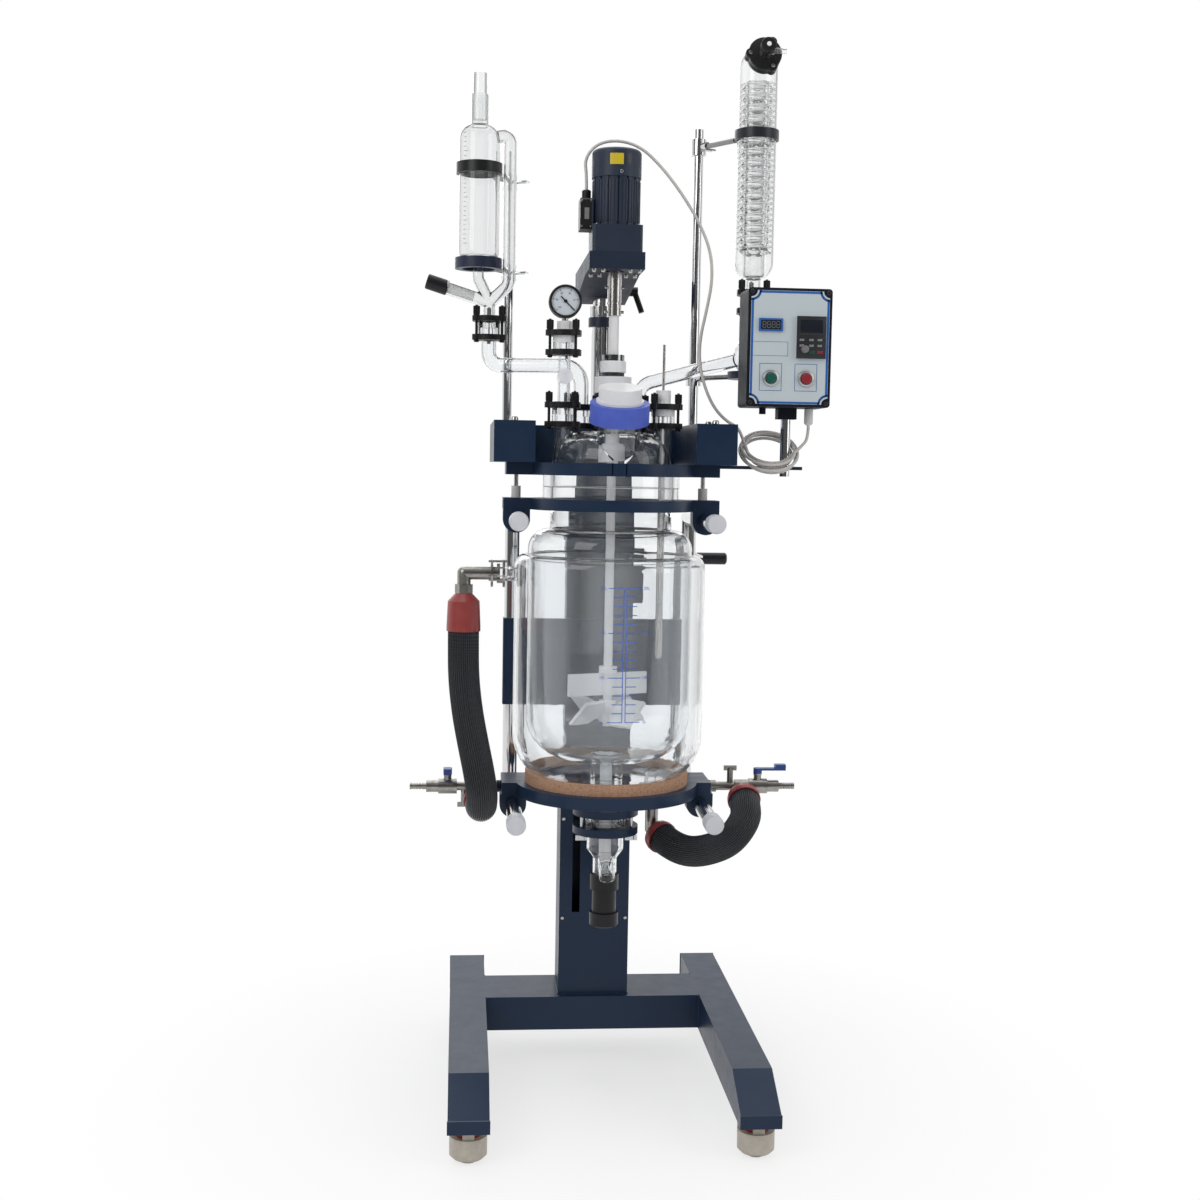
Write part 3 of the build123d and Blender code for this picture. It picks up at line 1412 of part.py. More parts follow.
def stopcock_key():
    """Stopcock key: bored plug with a round frosted grip at the front and a nut at the back."""
    x, y = riser_neck
    z = neck_joint_z + stopcock_rise
    half = stopcock_barrel_length / 2
    front = y - half - running_gap
    key = bar((x, front, z), (x, y + half + 4, z), stopcock_key_r)
    key += bar((x, front - stopcock_grip_thickness, z), (x, front, z), stopcock_grip_r)
    key += bar((x, y + half + running_gap, z), (x, y + half + 4, z), stopcock_key_r + 3)
    return key - rod(x, y, z - 20, z + 20, 2.0)


reflux_top = (condenser_x, condenser_y, bulb_z)


def reflux_arm():
    """Rising arm from the rear right neck to the bulb under the condenser."""
    x, y = reflux_neck
    bend_z = neck_joint_z + reflux_bend_rise
    points = [(x, y, neck_joint_z + 8), (x, y, bend_z), reflux_top]
    arm = bent_tube(points, [reflux_bend], reflux_tube_r)
    bulb = Pos(*reflux_top) * Sphere(bulb_r)
    upper = rod(condenser_x, condenser_y, bulb_z, condenser_joint_z - 8, condenser_neck_r)
    arm += bulb + upper + glass_end(x, y, neck_joint_z, 1)
    arm += glass_end(condenser_x, condenser_y, condenser_joint_z, -1)
    arm -= Pos(*reflux_top) * Sphere(bulb_r - glass_wall)
    arm -= bent_tube(points, [reflux_bend], reflux_tube_r - glass_wall)
    arm -= rod(x, y, neck_joint_z - 1, neck_joint_z + 10, reflux_tube_r - glass_wall)
    return arm - rod(condenser_x, condenser_y, bulb_z, condenser_joint_z + 1, condenser_neck_r - glass_wall)


def glass_arms():
    """The three glass pieces that stand on the lid's necks."""
    return group(funnel_arm(), gauge_riser(), reflux_arm())


head_direction = Vector(0, -cos(radians(head_tilt)), sin(radians(head_tilt)))
head_root = Vector(condenser_x, condenser_y, condenser_top - head_drop)
head_tip = head_root + head_direction * head_reach


def condenser():
    """Coil condenser: outer tube with an angled top neck, flange and valve body, and the coil."""
    centre = (condenser_x, condenser_y)
    neck_low = condenser_joint_z + joint_flange_thickness
    shell = Pos(*centre, 0) * knuckled_barrel(
        condenser_r, condenser_bottom, condenser_top, condenser_low_round, condenser_top_round)
    room = Pos(*centre, 0) * knuckled_barrel(
        condenser_r - glass_wall, condenser_bottom + glass_wall, condenser_top - glass_wall,
        condenser_low_round - glass_wall, condenser_top_round - glass_wall)
    shell += rod(*centre, neck_low, condenser_bottom + 10, condenser_neck_r)
    shell += glass_end(*centre, condenser_joint_z, 1)
    shell += bar(tuple(head_root), tuple(head_tip), head_tube_r)
    shell -= room + rod(*centre, condenser_joint_z - 1, condenser_bottom + 12, condenser_neck_r - glass_wall)
    shell -= bar(tuple(head_root), tuple(head_tip), head_tube_r - glass_wall)
    valve_root = head_tip + head_direction * (2 * joint_plate_thickness + seat_gap)
    valve_tip = valve_root + head_direction * valve_body_length
    valve = bar(tuple(valve_root), tuple(valve_tip), valve_body_r)
    barb_root = valve_root + head_direction * (valve_body_length / 2)
    barb_tip = barb_root + Vector(valve_body_r + side_barb_length, 0, 0)
    collar_end = barb_root + Vector(valve_body_r + side_barb_collar, 0, 0)
    valve += bar(tuple(barb_root), tuple(collar_end), side_barb_collar_r)
    valve += bar(tuple(barb_root), tuple(barb_tip), side_barb_r)
    valve -= bar(tuple(valve_root), tuple(valve_tip), 6.0 + running_gap)
    valve -= bar(tuple(barb_root), tuple(barb_tip), side_barb_r - 2)
    head_plane = Plane(origin=head_tip + head_direction * (seat_gap / 2), x_dir=(1, 0, 0), z_dir=head_direction)
    lobes = Circle(plate_r)
    for turn in range(3):
        x, y = polar(plate_pitch_r, head_lobe_angle + 120 * turn)
        lobes += Pos(x, y) * Circle(plate_lobe_r)
    lobes -= Circle(6.0 + running_gap)
    flange = head_plane * extrude(lobes, 2 * joint_plate_thickness)
    coil_low = condenser_bottom + coil_rise
    pitch = coil_length / coil_turns
    points = [(coil_r - 8, coil_low)]
    for turn in range(coil_turns):
        z = coil_low + turn * pitch
        points.append((coil_r, z + pitch * 0.35))
        points.append((coil_r - coil_groove, z + pitch * 0.85))
    points.append((coil_r - 8, coil_low + coil_length))
    coil = lathe((coil_r - 12, coil_low), *points, (coil_r - 12, coil_low + coil_length))
    inset = glass_wall + running_gap
    skirt = knuckled_barrel(
        condenser_r - inset, condenser_bottom + inset, condenser_top - inset,
        condenser_low_round - inset, condenser_top_round - inset,
    )
    skirt &= ring_at((0, 0), condenser_bottom, coil_low + 1, coil_r - 8, coil_r - 12)
    return group(shell, valve, flange, Pos(*centre, 0) * (coil + skirt))


def condenser_knob():
    """Black cap of the condenser's vent valve, with its needle."""
    valve_root = head_tip + head_direction * (2 * joint_plate_thickness + seat_gap)
    start = valve_root + head_direction * (valve_body_length + running_gap)
    knob = bar(tuple(start), tuple(start + head_direction * valve_knob_length), valve_knob_r)
    knob = chamfer(knob.edges().filter_by(GeomType.CIRCLE), 1.5)
    return knob + bar(tuple(valve_root + head_direction * 2), tuple(start + head_direction * 2), 6.0)


# Gauge

def gauge_case():
    """Round gauge with a rim, recessed dial and bottom stem."""
    x, y = riser_neck
    front, back = y - gauge_depth / 2, y + gauge_depth / 2
    case = bar((x, front, gauge_z), (x, back, gauge_z), gauge_r)
    case -= bar((x, front, gauge_z), (x, front + gauge_dial_recess, gauge_z), gauge_r - gauge_rim)
    case -= bar((x, front, gauge_z), (x, back - 4, gauge_z), needle_hub_r / 2 + 0.05)
    hex_top = gauge_joint_z + joint_flange_thickness + joint_plate_thickness + 1 + gauge_hex_height
    return case + rod(x, y, hex_top + seat_gap, gauge_z - gauge_r + 3, gauge_stem_r)


def gauge_needle():
    """Needle on its arbor, pointing at zero at the lower right."""
    x, y = riser_neck
    dial = y - gauge_depth / 2 + gauge_dial_recess
    needle = Pos(x, dial - 1.6, gauge_z) * Rot(0, 45, 0) * Pos(needle_length / 2 - 6, 0, 0) * Box(
        needle_length + 12, 1.0, needle_width)
    hub = bar((x, dial - 2.6, gauge_z), (x, dial - running_gap, gauge_z), needle_hub_r)
    return needle + hub + bar((x, dial - 1, gauge_z), (x, dial + 12, gauge_z), needle_hub_r / 2)


# Control box

relief_place = (box_x + 49.0, -8.0)
box_top = box_bottom + box_height
panel_y = box_front - panel_thickness
button_z = box_bottom + 50.0
button_places = {"start_button": -33.0, "stop_button": 30.0}
keypad_x = box_x + 37.0
keypad_low = box_bottom + 85.0
speed_knob_place = (keypad_x - 12.0, keypad_low + 16.0)


def control_box():
    """Control box: case, face panel with display and keypad, pole clamp and cable fittings."""
    half = box_width / 2
    case = block(box_x - half, box_x + half, box_front, box_front + box_depth, box_bottom, box_top)
    case = fillet(case.edges().filter_by(Axis.Y), box_round)
    clamp = block(box_x - 8, box_x + 26, -14, 14, box_bottom - 20, box_bottom)
    top_gland = rod(box_x - 30, 0, box_top, box_top + 6, 8.0)
    low_gland = rod(box_x - 38, -20, box_bottom - 12, box_bottom, 6.0)
    relief = rod(relief_place[0], relief_place[1], box_bottom - relief_length, box_bottom, relief_r)
    relief = chamfer(relief.edges().group_by(Axis.Z)[0], 3.0)
    inset = half - panel_margin
    panel = block(
        box_x - inset, box_x + inset, panel_y, box_front, box_bottom + panel_margin, box_top - panel_margin,
    )
    notch = 22.0
    for sx in (-1, 1):
        for z in (box_bottom + panel_margin, box_top - panel_margin):
            panel -= bar((box_x + sx * inset, panel_y, z), (box_x + sx * inset, box_front, z), notch / 2)
    for dx in button_places.values():
        bezel = bar((box_x + dx, panel_y - 3, button_z), (box_x + dx, panel_y, button_z), button_bezel_r)
        panel += bezel
        panel -= bar((box_x + dx, panel_y - 3, button_z), (box_x + dx, box_front, button_z), button_r + running_gap)
        case -= bar((box_x + dx, box_front, button_z), (box_x + dx, box_front + 8, button_z), button_r + running_gap)
    keypad = block(
        keypad_x - keypad_width / 2, keypad_x + keypad_width / 2, panel_y - 6, panel_y,
        keypad_low, keypad_low + keypad_height,
    )
    x, z = speed_knob_place
    keypad -= bar((x, panel_y - 6, z), (x, panel_y, z), 3.0 + 0.05)
    screen = block(box_x - 56, box_x - 56 + display_width, panel_y - 2, panel_y, box_bottom + 132, box_bottom + 132
                   + display_height)
    return group(case + clamp + top_gland + low_gland + relief, panel, keypad, screen)


def push_button(name):
    """Round push button with its stem in the case."""
    x = box_x + button_places[name]
    front = panel_y - 3 - button_height + 3
    button = bar((x, front, button_z), (x, box_front + 8 - button_travel - running_gap, button_z), button_r)
    return chamfer(button.edges().group_by(Axis.Y)[0], 1.5)


def speed_knob():
    """Small round knob of the keypad."""
    x, z = speed_knob_place
    front = panel_y - 6 - running_gap
    knob = bar((x, front - knob_height, z), (x, front, z), knob_r)
    return knob + bar((x, front, z), (x, panel_y - 1, z), 3.0)


# Pipes and fittings

pipe_clearance = 0.05
tee_direction = Vector(0, -cos(radians(tee_tilt)), -sin(radians(tee_tilt)))
left_tee = Vector(-tee_x_left, manifold_y, manifold_z)
right_tee = Vector(tee_x_right, manifold_y, manifold_z)
elbow_low = port_z - elbow_drop
drain_elbow = Vector(*drain_place, drain_low - drain_stub)
drain_direction = Vector(0.45, -0.85, -0.28).normalized()
left_cap_end = Vector(-elbow_x, 0, elbow_low - seat_gap)
left_tee_cap_end = left_tee + tee_direction * (tee_reach + seat_gap)
right_tee_cap_end = right_tee + tee_direction * (tee_reach + seat_gap)
drain_cap_end = drain_elbow + drain_direction * (elbow_r + seat_gap)


def across(side, x_low, x_high, r):
    """Cylinder on a manifold's axis between two distances from the middle."""
    start = (side * x_low, manifold_y, manifold_z)
    return bar(start, (side * x_high, manifold_y, manifold_z), r)


def barb(side):
    """Hose barb whose ridges are grooves cut below one outer size."""
    root = valve_x + valve_ball_length / 2 + 2 * valve_nut_length
    tip = root + barb_length
    piece = across(side, root, tip, barb_r)
    for step in range(barb_ridges):
        x = tip - barb_groove_pitch * (step + 1)
        groove = across(side, x - barb_groove_width, x, barb_r + 1)
        piece -= groove - across(side, x - barb_groove_width, x, barb_r - barb_groove)
    return piece - across(side, root - valve_nut_length, tip, barb_bore_r)


def manifold(side, tee, small_valve_x):
    """Side pipe with the hose's tee, a small wing valve, the ball valve and the hose barb."""
    ball_low = valve_x - valve_ball_length / 2
    ball_high = valve_x + valve_ball_length / 2
    pipe = across(side, side_tube_x + side_tube_r + 2, ball_low, pipe_r)
    pipe += across(side, manifold_boss_end + seat_gap, manifold_boss_end + valve_nut_length, valve_nut_r)
    pipe += across(side, abs(tee.X) - tee_r, abs(tee.X) + tee_r, tee_r)
    pipe += bar(tuple(tee), tuple(tee + tee_direction * tee_reach), tee_r)
    pipe += across(side, ball_low, ball_high, valve_ball_r)
    pipe += across(side, ball_high, ball_high + 2 * valve_nut_length, valve_nut_r)
    wing_z = manifold_z + side * small_valve_length
    low, high = min(manifold_z, wing_z), max(manifold_z, wing_z)
    pipe += rod(side * small_valve_x, manifold_y, low, high, pipe_r * 0.7)
    pipe += Pos(side * small_valve_x, manifold_y, wing_z) * Box(wing_width, wing_thickness, wing_height)
    boss_top = manifold_z + valve_ball_r + valve_boss_height
    x = side * valve_x
    pipe += rod(x, manifold_y, manifold_z, boss_top, valve_boss_r)
    pipe += barb(side)
    return pipe - rod(x, manifold_y, manifold_z + 4, boss_top, valve_stem_r + pipe_clearance)


def valve_lever(side):
    """Ball valve lever with its stem: the left one points forward, the right one outward."""
    low = manifold_z + valve_ball_r + valve_boss_height + running_gap
    top = manifold_z + valve_stem_height
    half = lever_bar_width / 2
    lever = rod(0, 0, manifold_z + 5, top, valve_stem_r) + rod(0, 0, low, top, half + 1)
    lever += block(0, lever_bar_length, -half, half, top - lever_bar_thickness, top)
    lever += block(
        lever_bar_length - lever_tip_length, lever_bar_length, -half, half, top - lever_bar_thickness,
        top + lever_tip_rise,
    )
    turn = -90 if side < 0 else 0
    return Pos(side * valve_x, manifold_y, 0) * Rot(0, 0, turn) * lever


def port_fitting():
    """Steel flange clamp and elbow on the upper jacket port."""
    def level(x_low, x_high, r, y=0, z=port_z):
        return bar((x_low, y, z), (x_high, y, z), r)
    inner = -port_end + port_flange_thickness + seat_gap
    face = -port_end - seat_gap
    outer = face - port_joint_length
    collar = level(inner, inner + port_clamp_thickness, port_clamp_r)
    collar -= level(inner, inner + port_clamp_thickness, port_r + seat_gap)
    elbow = level(face - port_flange_thickness, face, port_flange_r) + level(-elbow_x, face, elbow_r)
    elbow += level(outer, outer + port_clamp_thickness, port_clamp_r)
    elbow += Pos(-elbow_x, 0, port_z) * Sphere(elbow_r)
    elbow += rod(-elbow_x, 0, elbow_low, port_z, elbow_r)
    elbow += Pos(-elbow_x, 0, elbow_low) * extrude(RegularPolygon(nut_r, 6), nut_height)
    bolt_circle = (port_clamp_r + port_flange_r) / 2
    for turn in range(3):
        dy, dz = polar(bolt_circle, 90 + 120 * turn)
        elbow += level(outer - 4, inner + port_clamp_thickness + 4, clamp_bolt_r, dy, port_z + dz)
        collar -= level(inner, inner + port_clamp_thickness, clamp_bolt_r + seat_gap, dy, port_z + dz)
    return [collar, elbow]


def drain_fitting():
    """Steel flange clamp, stub and elbow under the lower jacket port."""
    x, y = drain_place
    top = drain_low - seat_gap
    collar_low = drain_low + port_flange_thickness + seat_gap
    collar_high = collar_low + port_clamp_thickness
    collar = ring_at(drain_place, collar_low, collar_high, port_clamp_r, port_r + seat_gap)
    stub = rod(x, y, top - port_clamp_thickness, top, port_clamp_r)
    stub += rod(x, y, drain_elbow.Z, top, elbow_r) + Pos(*drain_elbow) * Sphere(elbow_r)
    stub += bar(tuple(drain_elbow), tuple(drain_cap_end - drain_direction * seat_gap), elbow_r)
    bolt_circle = (port_clamp_r + port_flange_r) / 2
    for turn in range(3):
        dx, dy = polar(bolt_circle, 30 + 120 * turn)
        stub += rod(x + dx, y + dy, top - 8, collar_high + 4, clamp_bolt_r)
        collar -= rod(x + dx, y + dy, collar_low, collar_high, clamp_bolt_r + seat_gap)
    return [collar, stub]


def pipe_fittings():
    """All steel pipe work of the jacket circuit."""
    left = manifold(-1, left_tee, drain_valve_x)
    right = manifold(1, right_tee, vent_valve_x)
    return group(*port_fitting(), *drain_fitting(), left, right)


def hose_cap(end, direction, length, floor):
    """Red end cap: narrow neck at the fitting, widening to a rim over the hose."""
    bore_r = hose_r + seat_gap
    cap = lathe(
        (0, 0), (cap_neck_r, 0), (cap_r - 2, floor - 2), (cap_r, length - 8), (cap_r, length),
        (bore_r, length), (bore_r, floor), (0, floor),
    )
    return Plane(origin=end, z_dir=direction) * cap


def hose_caps():
    """The four red end caps."""
    return group(
        hose_cap(left_cap_end, (0, 0, -1), cap_length, cap_floor),
        hose_cap(left_tee_cap_end, tee_direction, short_cap_length, short_cap_floor),
        hose_cap(right_tee_cap_end, tee_direction, short_cap_length, short_cap_floor),
        hose_cap(drain_cap_end, drain_direction, short_cap_length, short_cap_floor),
    )


# Hoses and cable: routes chosen by hand, runs joined by tangent arcs

hose_left_points = [
    (-262.0, 0.0, 925.1),
    (-262.0, 0.0, 850.0),
    (-261.0, -11.0, 790.0),
    (-254.0, -27.0, 731.0),
    (-243.0, -44.0, 676.0),
    (-232.0, -58.0, 626.0),
    (-226.0, -64.0, 588.0),
    (-227.0, -46.0, 563.0),
    (-228.0, -17.65, 556.74),
    (-228.0, 10.33, 568.62),
]
hose_right_points = [
    (102.97, 34.28, 491.68),
    (120.04, 2.03, 481.06),
    (150.0, -34.0, 475.0),
    (185.0, -50.0, 483.0),
    (222.0, -62.0, 502.0),
    (251.0, -44.0, 535.0),
    (256.0, -23.73, 554.16),
    (256.0, 10.33, 568.62),
]
motor_cable_points = [
    (-53.0, 0.0, 1652.0),
    (-53.4, 0.0, 1684.0),
    (-57.0, 2.0, 1713.0),
    (-36.0, 4.0, 1740.0),
    (2.0, 4.0, 1748.0),
    (42.0, 2.0, 1737.0),
    (78.0, 0.0, 1705.0),
    (114.0, -2.0, 1661.0),
    (146.0, -2.0, 1613.0),
    (170.0, -2.0, 1562.0),
    (176.0, 0.0, 1510.0),
    (167.0, 4.0, 1455.0),
    (156.0, 7.0, 1403.0),
    (156.0, 5.0, 1356.0),
    (167.0, 0.0, 1313.0),
    (184.0, -2.0, 1279.0),
    (206.0, -2.0, 1257.0),
    (228.0, -2.0, 1246.0),
    (238.0, -1.0, 1224.0),
    (236.5, 3.0, 1206.0),
]
box_lead_points = [
    (333.0, -6.0, 1204.0),
    (342.0, -9.0, 1213.0),
    (355.0, -8.0, 1227.0),
    (355.0, -8.0, 1252.0),
]
coil_place = (285.0, 0.0, 1204.0)
coil_tilt = 40.0


def cord_bends(points, share=0.45):
    """Largest arc that each corner's two runs allow."""
    bends = []
    for before, here, after in zip(points, points[1:], points[2:]):
        run_in = Vector(*here) - Vector(*before)
        run_out = Vector(*after) - Vector(*here)
        turn = radians(run_in.get_angle(run_out))
        bends.append(share * min(run_in.length, run_out.length) / tan(turn / 2))
    return bends


def cord_tube(name, points, r):
    """Plain tube of a cord, with its arcs, its length and its volume over section times length."""
    bends = cord_bends(points)
    tube = bent_tube(points, bends, r)
    length = FilletPolyline(*points, radius=bends).length
    share = tube.volume / (pi * r * r * length)
    print(name, "length", round(length), "radii", [round(b) for b in bends], "share", round(share, 4))
    return tube


def cord_coil():
    """Outer shape of the cable's spare length, looped round the control box's pole."""
    loop = Torus(coil_loop_r, coil_bundle_r)
    return Pos(*coil_place) * Rot(coil_tilt, 0, 0) * loop


# Every node, in build order, and the move to the origin

cords = {
    "hose_left": cord_tube("hose_left", hose_left_points, hose_r),
    "hose_right": cord_tube("hose_right", hose_right_points, hose_r),
    "motor_cable": cord_tube("motor_cable", motor_cable_points, cable_r),
    "cord_coil": cord_coil(),
    "box_lead": cord_tube("box_lead", box_lead_points, cable_r),
}
rigid = {
    "base_frame": base_frame(),
    "column": column(),
    "upper_frame": upper_frame(),
    "support_rods": support_rods(),
    "glass_holders": glass_holders(),
    "lid_glass": lid_glass(),
    "clamp_plates": joint_plates(),
    "clamp_bolts": joint_bolts(),
    "funnel_glass": funnel_glass(),
    "glass_arms": glass_arms(),
    "condenser": condenser(),
    "instruments": group(gauge_case(), probe()),
    "drive_bracket": drive_bracket(),
    "gear_motor": gear_motor(),
    "ptfe_fittings": ptfe_fittings(),
    "control_box": control_box(),
    "gauge_needle": gauge_needle(),
    "funnel_knob": funnel_knob(),
    "stopcock_key": stopcock_key(),
    "condenser_knob": condenser_knob(),
    "clamp_lever": clamp_lever(),
    "port_ring": port_ring(),
    "start_button": push_button("start_button"),
    "stop_button": push_button("stop_button"),
    "speed_knob": speed_knob(),
    "crank": crank(),
    "stirrer_coupling": stirrer_coupling(),
    "stirrer": stirrer(),
    "vessel_glass": vessel_glass(),
    "neck_ring": neck_ring(),
    "base_ring": base_ring(),
    "cork_ring": cork_ring(),
    "lift_posts": lift_posts(),
    "carriage": carriage(),
    "lift_fasteners": lift_fasteners(),
    "pipe_fittings": pipe_fittings(),
    "hose_caps": hose_caps(),
    "discharge_rings": discharge_rings(),
    "discharge_glass": discharge_glass(),
    "discharge_collar": discharge_collar(),
    "discharge_knob": discharge_knob(),
    "valve_lever_left": valve_lever(-1),
    "valve_lever_right": valve_lever(1),
}
for place, (x, y) in caster_places.items():
    at = Pos(x, y, 0)
    rigid["caster_" + place] = at * caster_housing()
    rigid["wheel_" + place] = at * caster_wheel()
    rigid["foot_" + place] = at * caster_foot()

boxes = [piece.bounding_box() for piece in rigid.values()]
middle_x = (min(b.min.X for b in boxes) + max(b.max.X for b in boxes)) / 2
middle_y = (min(b.min.Y for b in boxes) + max(b.max.Y for b in boxes)) / 2
print("origin in the layout", round(middle_x, 3), round(middle_y, 3))

os.makedirs("parts", exist_ok=True)
for name, piece in {**rigid, **cords}.items():
    export_step(Pos(-middle_x, -middle_y, 0) * piece, "parts/" + name + ".step")
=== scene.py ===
"""Looks of a jacketed glass reactor: finishes, trim, prints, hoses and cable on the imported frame."""

import logging
import math
from dataclasses import dataclass, field, replace
from enum import Enum

import bmesh
import bpy
from mathutils import Matrix, Vector


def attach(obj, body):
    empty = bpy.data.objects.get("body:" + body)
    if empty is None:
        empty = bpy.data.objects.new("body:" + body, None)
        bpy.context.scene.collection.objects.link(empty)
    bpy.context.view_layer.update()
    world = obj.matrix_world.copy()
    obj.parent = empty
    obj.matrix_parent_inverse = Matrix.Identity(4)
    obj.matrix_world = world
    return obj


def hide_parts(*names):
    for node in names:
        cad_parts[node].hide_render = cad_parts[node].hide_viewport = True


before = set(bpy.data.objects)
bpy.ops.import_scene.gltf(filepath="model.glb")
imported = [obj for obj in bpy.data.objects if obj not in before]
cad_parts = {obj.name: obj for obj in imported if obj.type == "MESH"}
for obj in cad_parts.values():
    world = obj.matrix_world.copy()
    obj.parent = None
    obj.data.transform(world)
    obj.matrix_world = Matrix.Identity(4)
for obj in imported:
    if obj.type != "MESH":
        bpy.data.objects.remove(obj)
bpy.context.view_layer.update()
log = logging.getLogger("reactor")

Point = tuple[float, float, float]
Output = tuple[str, str | int]
Feed = Output | tuple[float, ...] | float

MIDDLE = Vector((12.0, 93.5, 0.0))
FORWARD = (0, -1, 0)
UP = (0, 0, 1)
DOWN = (0, 0, -1)
UPRIGHT = Matrix.Rotation(math.radians(90), 4, "X")
SHADER = "Principled BSDF"


def at(x: float, y: float, z: float) -> Vector:
    """Point of the frame, in metres, from layout millimetres about the vessel's axis."""
    return (Vector((x, y, z)) - MIDDLE) / 1000


def mm(length: float) -> float:
    """Metres from millimetres."""
    return length / 1000


def placed(place: Point, angle: float, axis: str) -> Matrix:
    """Matrix that turns about an axis by radians and then moves to a place."""
    return Matrix.Translation(place) @ Matrix.Rotation(angle, 4, axis)


def put(name: str, data: bpy.types.ID) -> bpy.types.Object:
    """New object in the scene that shows some data."""
    made = bpy.data.objects.new(name, data)
    bpy.context.scene.collection.objects.link(made)
    return made


# Shader groups


@dataclass
class Wire:
    """Short ways to place and join nodes in one tree."""

    tree: bpy.types.NodeTree

    def feed(self, target: str, values: dict[str | int, Feed]) -> None:
        """Give a node's inputs plain values, or join them to the (node, output) given."""
        for socket, value in values.items():
            entry = self.tree.nodes[target].inputs[socket]
            if isinstance(value, tuple) and isinstance(value[0], str):
                self.tree.links.new(self.tree.nodes[value[0]].outputs[value[1]], entry)
            else:
                entry.default_value = value

    def node(self, kind: str, *operands: Feed, operation: str = "", **values: Feed) -> str:
        """Place a node.

        Args:
            kind: Node type without its ShaderNode.
            operands: What its first inputs get.
            operation: Operation of a math or vector math node.
            values: What its other inputs get, by name.

        Returns:
            The node's name in the tree.
        """
        made = self.tree.nodes.new("ShaderNode" + kind)
        if operation:
            made.operation = operation
        name = made.name
        self.feed(name, {**dict(enumerate(operands)), **values})
        return name

    def group(self, kind: type["Group"], **values: Feed) -> str:
        """Place a group with its values and return its name."""
        tree = kind.tree()
        made = self.tree.nodes.new("ShaderNodeGroup")
        made.node_tree = tree
        name = made.name
        self.feed(name, values)
        return name

    def place(self, kind: str) -> Output:
        """Coordinates of one kind."""
        return self.node("TexCoord"), kind

    def math(self, operation: str, *operands: Feed, clamp: bool = False) -> Output:
        """Result of a math node, kept between 0 and 1 where clamp is set."""
        name = self.node("Math", *operands, operation=operation)
        self.tree.nodes[name].use_clamp = clamp
        return name, "Value"

    def vector(self, operation: str, *operands: Feed) -> Output:
        """Result of a vector math node."""
        return self.node("VectorMath", *operands, operation=operation), "Vector"

    def noise(self, vector: Feed, scale: Feed, detail: float, roughness: float) -> Output:
        """Value of a noise."""
        return self.node("TexNoise", Vector=vector, Scale=scale, Detail=detail, Roughness=roughness), "Fac"

    def bump(self, height: Output, depth: float) -> Output:
        """Normal that a height gives, over a depth in metres."""
        return self.node("Bump", Distance=depth, Strength=1.0, Height=height), "Normal"

    def mix(self, mask: Output, low: Feed, high: Feed) -> Output:
        """Colour that goes from low to high where the mask is one."""
        made = self.tree.nodes.new("ShaderNodeMix")
        made.data_type = "RGBA"
        name = made.name
        self.feed(name, {0: mask, 6: low, 7: high})
        return name, 2

    def blend(self, mask: Output, low: Feed, high: Feed) -> Output:
        """Value that goes from low to high where the mask is one."""
        joined = isinstance(low, tuple) or isinstance(high, tuple)
        gap = self.math("SUBTRACT", high, low) if joined else high - low
        return self.math("MULTIPLY_ADD", mask, gap, low)

    def swing(self, value: Output, middle: Feed, spread: Feed) -> Output:
        """Value about a half, spread about another middle and kept between 0 and 1."""
        centred = self.math("SUBTRACT", value, 0.5)
        return self.math("ADD", self.math("MULTIPLY", centred, spread), middle, clamp=True)


VECTOR, SCALE, ROUGHNESS, SPREAD = (("in", label) for label in ("Vector", "Scale", "Roughness", "Spread"))
TONED = {"Vector": "Vector", "Scale": "Float", "Light": "Color", "Dark": "Color"}
WORKED = {"Vector": "Vector", "Scale": "Float", "Roughness": "Float", "Spread": "Float"}


class Group:
    """Shader node group that is built the first time it is placed."""

    built: dict[str, bpy.types.NodeTree] = {}
    title: str
    inputs: dict[str, str]
    outputs: dict[str, str]

    @classmethod
    def tree(cls) -> bpy.types.NodeTree:
        """Make the group's tree, once."""
        if cls.title not in cls.built:
            tree = bpy.data.node_groups.new(cls.title, "ShaderNodeTree")
            for way, sockets in (("INPUT", cls.inputs), ("OUTPUT", cls.outputs)):
                for label, kind in sockets.items():
                    tree.interface.new_socket(label, in_out=way, socket_type="NodeSocket" + kind)
            tree.nodes.new("NodeGroupInput").name = "in"
            tree.nodes.new("NodeGroupOutput").name = "out"
            wire = Wire(tree)
            wire.feed("out", cls.wired(wire))
            cls.built[cls.title] = tree
        return cls.built[cls.title]

    @classmethod
    def wired(cls, wire: Wire) -> dict[str, Output]:
        """Wire the group and return what its outputs get."""
        raise NotImplementedError


class Drift(Group):
    """Soft cloudy change between two tones, with its mask."""

    title = "drift"
    inputs = {**TONED, "Contrast": "Float"}
    outputs = {"Color": "Color", "Mask": "Float"}

    @classmethod
    def wired(cls, wire: Wire) -> dict[str, Output]:
        """Wire the group and return what its outputs get."""
        mask = wire.swing(wire.noise(VECTOR, SCALE, 5.0, 0.6), 0.5, ("in", "Contrast"))
        return {"Color": wire.mix(mask, ("in", "Dark"), ("in", "Light")), "Mask": mask}


class Skin(Group):
    """Fine pebbled skin of paint or moulded plastic: height and a roughness that varies a little."""

    title = "skin"
    inputs = WORKED
    outputs = {"Height": "Float", "Roughness": "Float"}
    broad_scale = 0.04

    @classmethod
    def wired(cls, wire: Wire) -> dict[str, Output]:
        """Wire the group and return what its outputs get."""
        broad = wire.noise(VECTOR, wire.math("MULTIPLY", SCALE, cls.broad_scale), 4.0, 0.65)
        fine = wire.noise(VECTOR, SCALE, 2.0, 0.5)
        return {"Height": fine, "Roughness": wire.swing(broad, ROUGHNESS, SPREAD)}


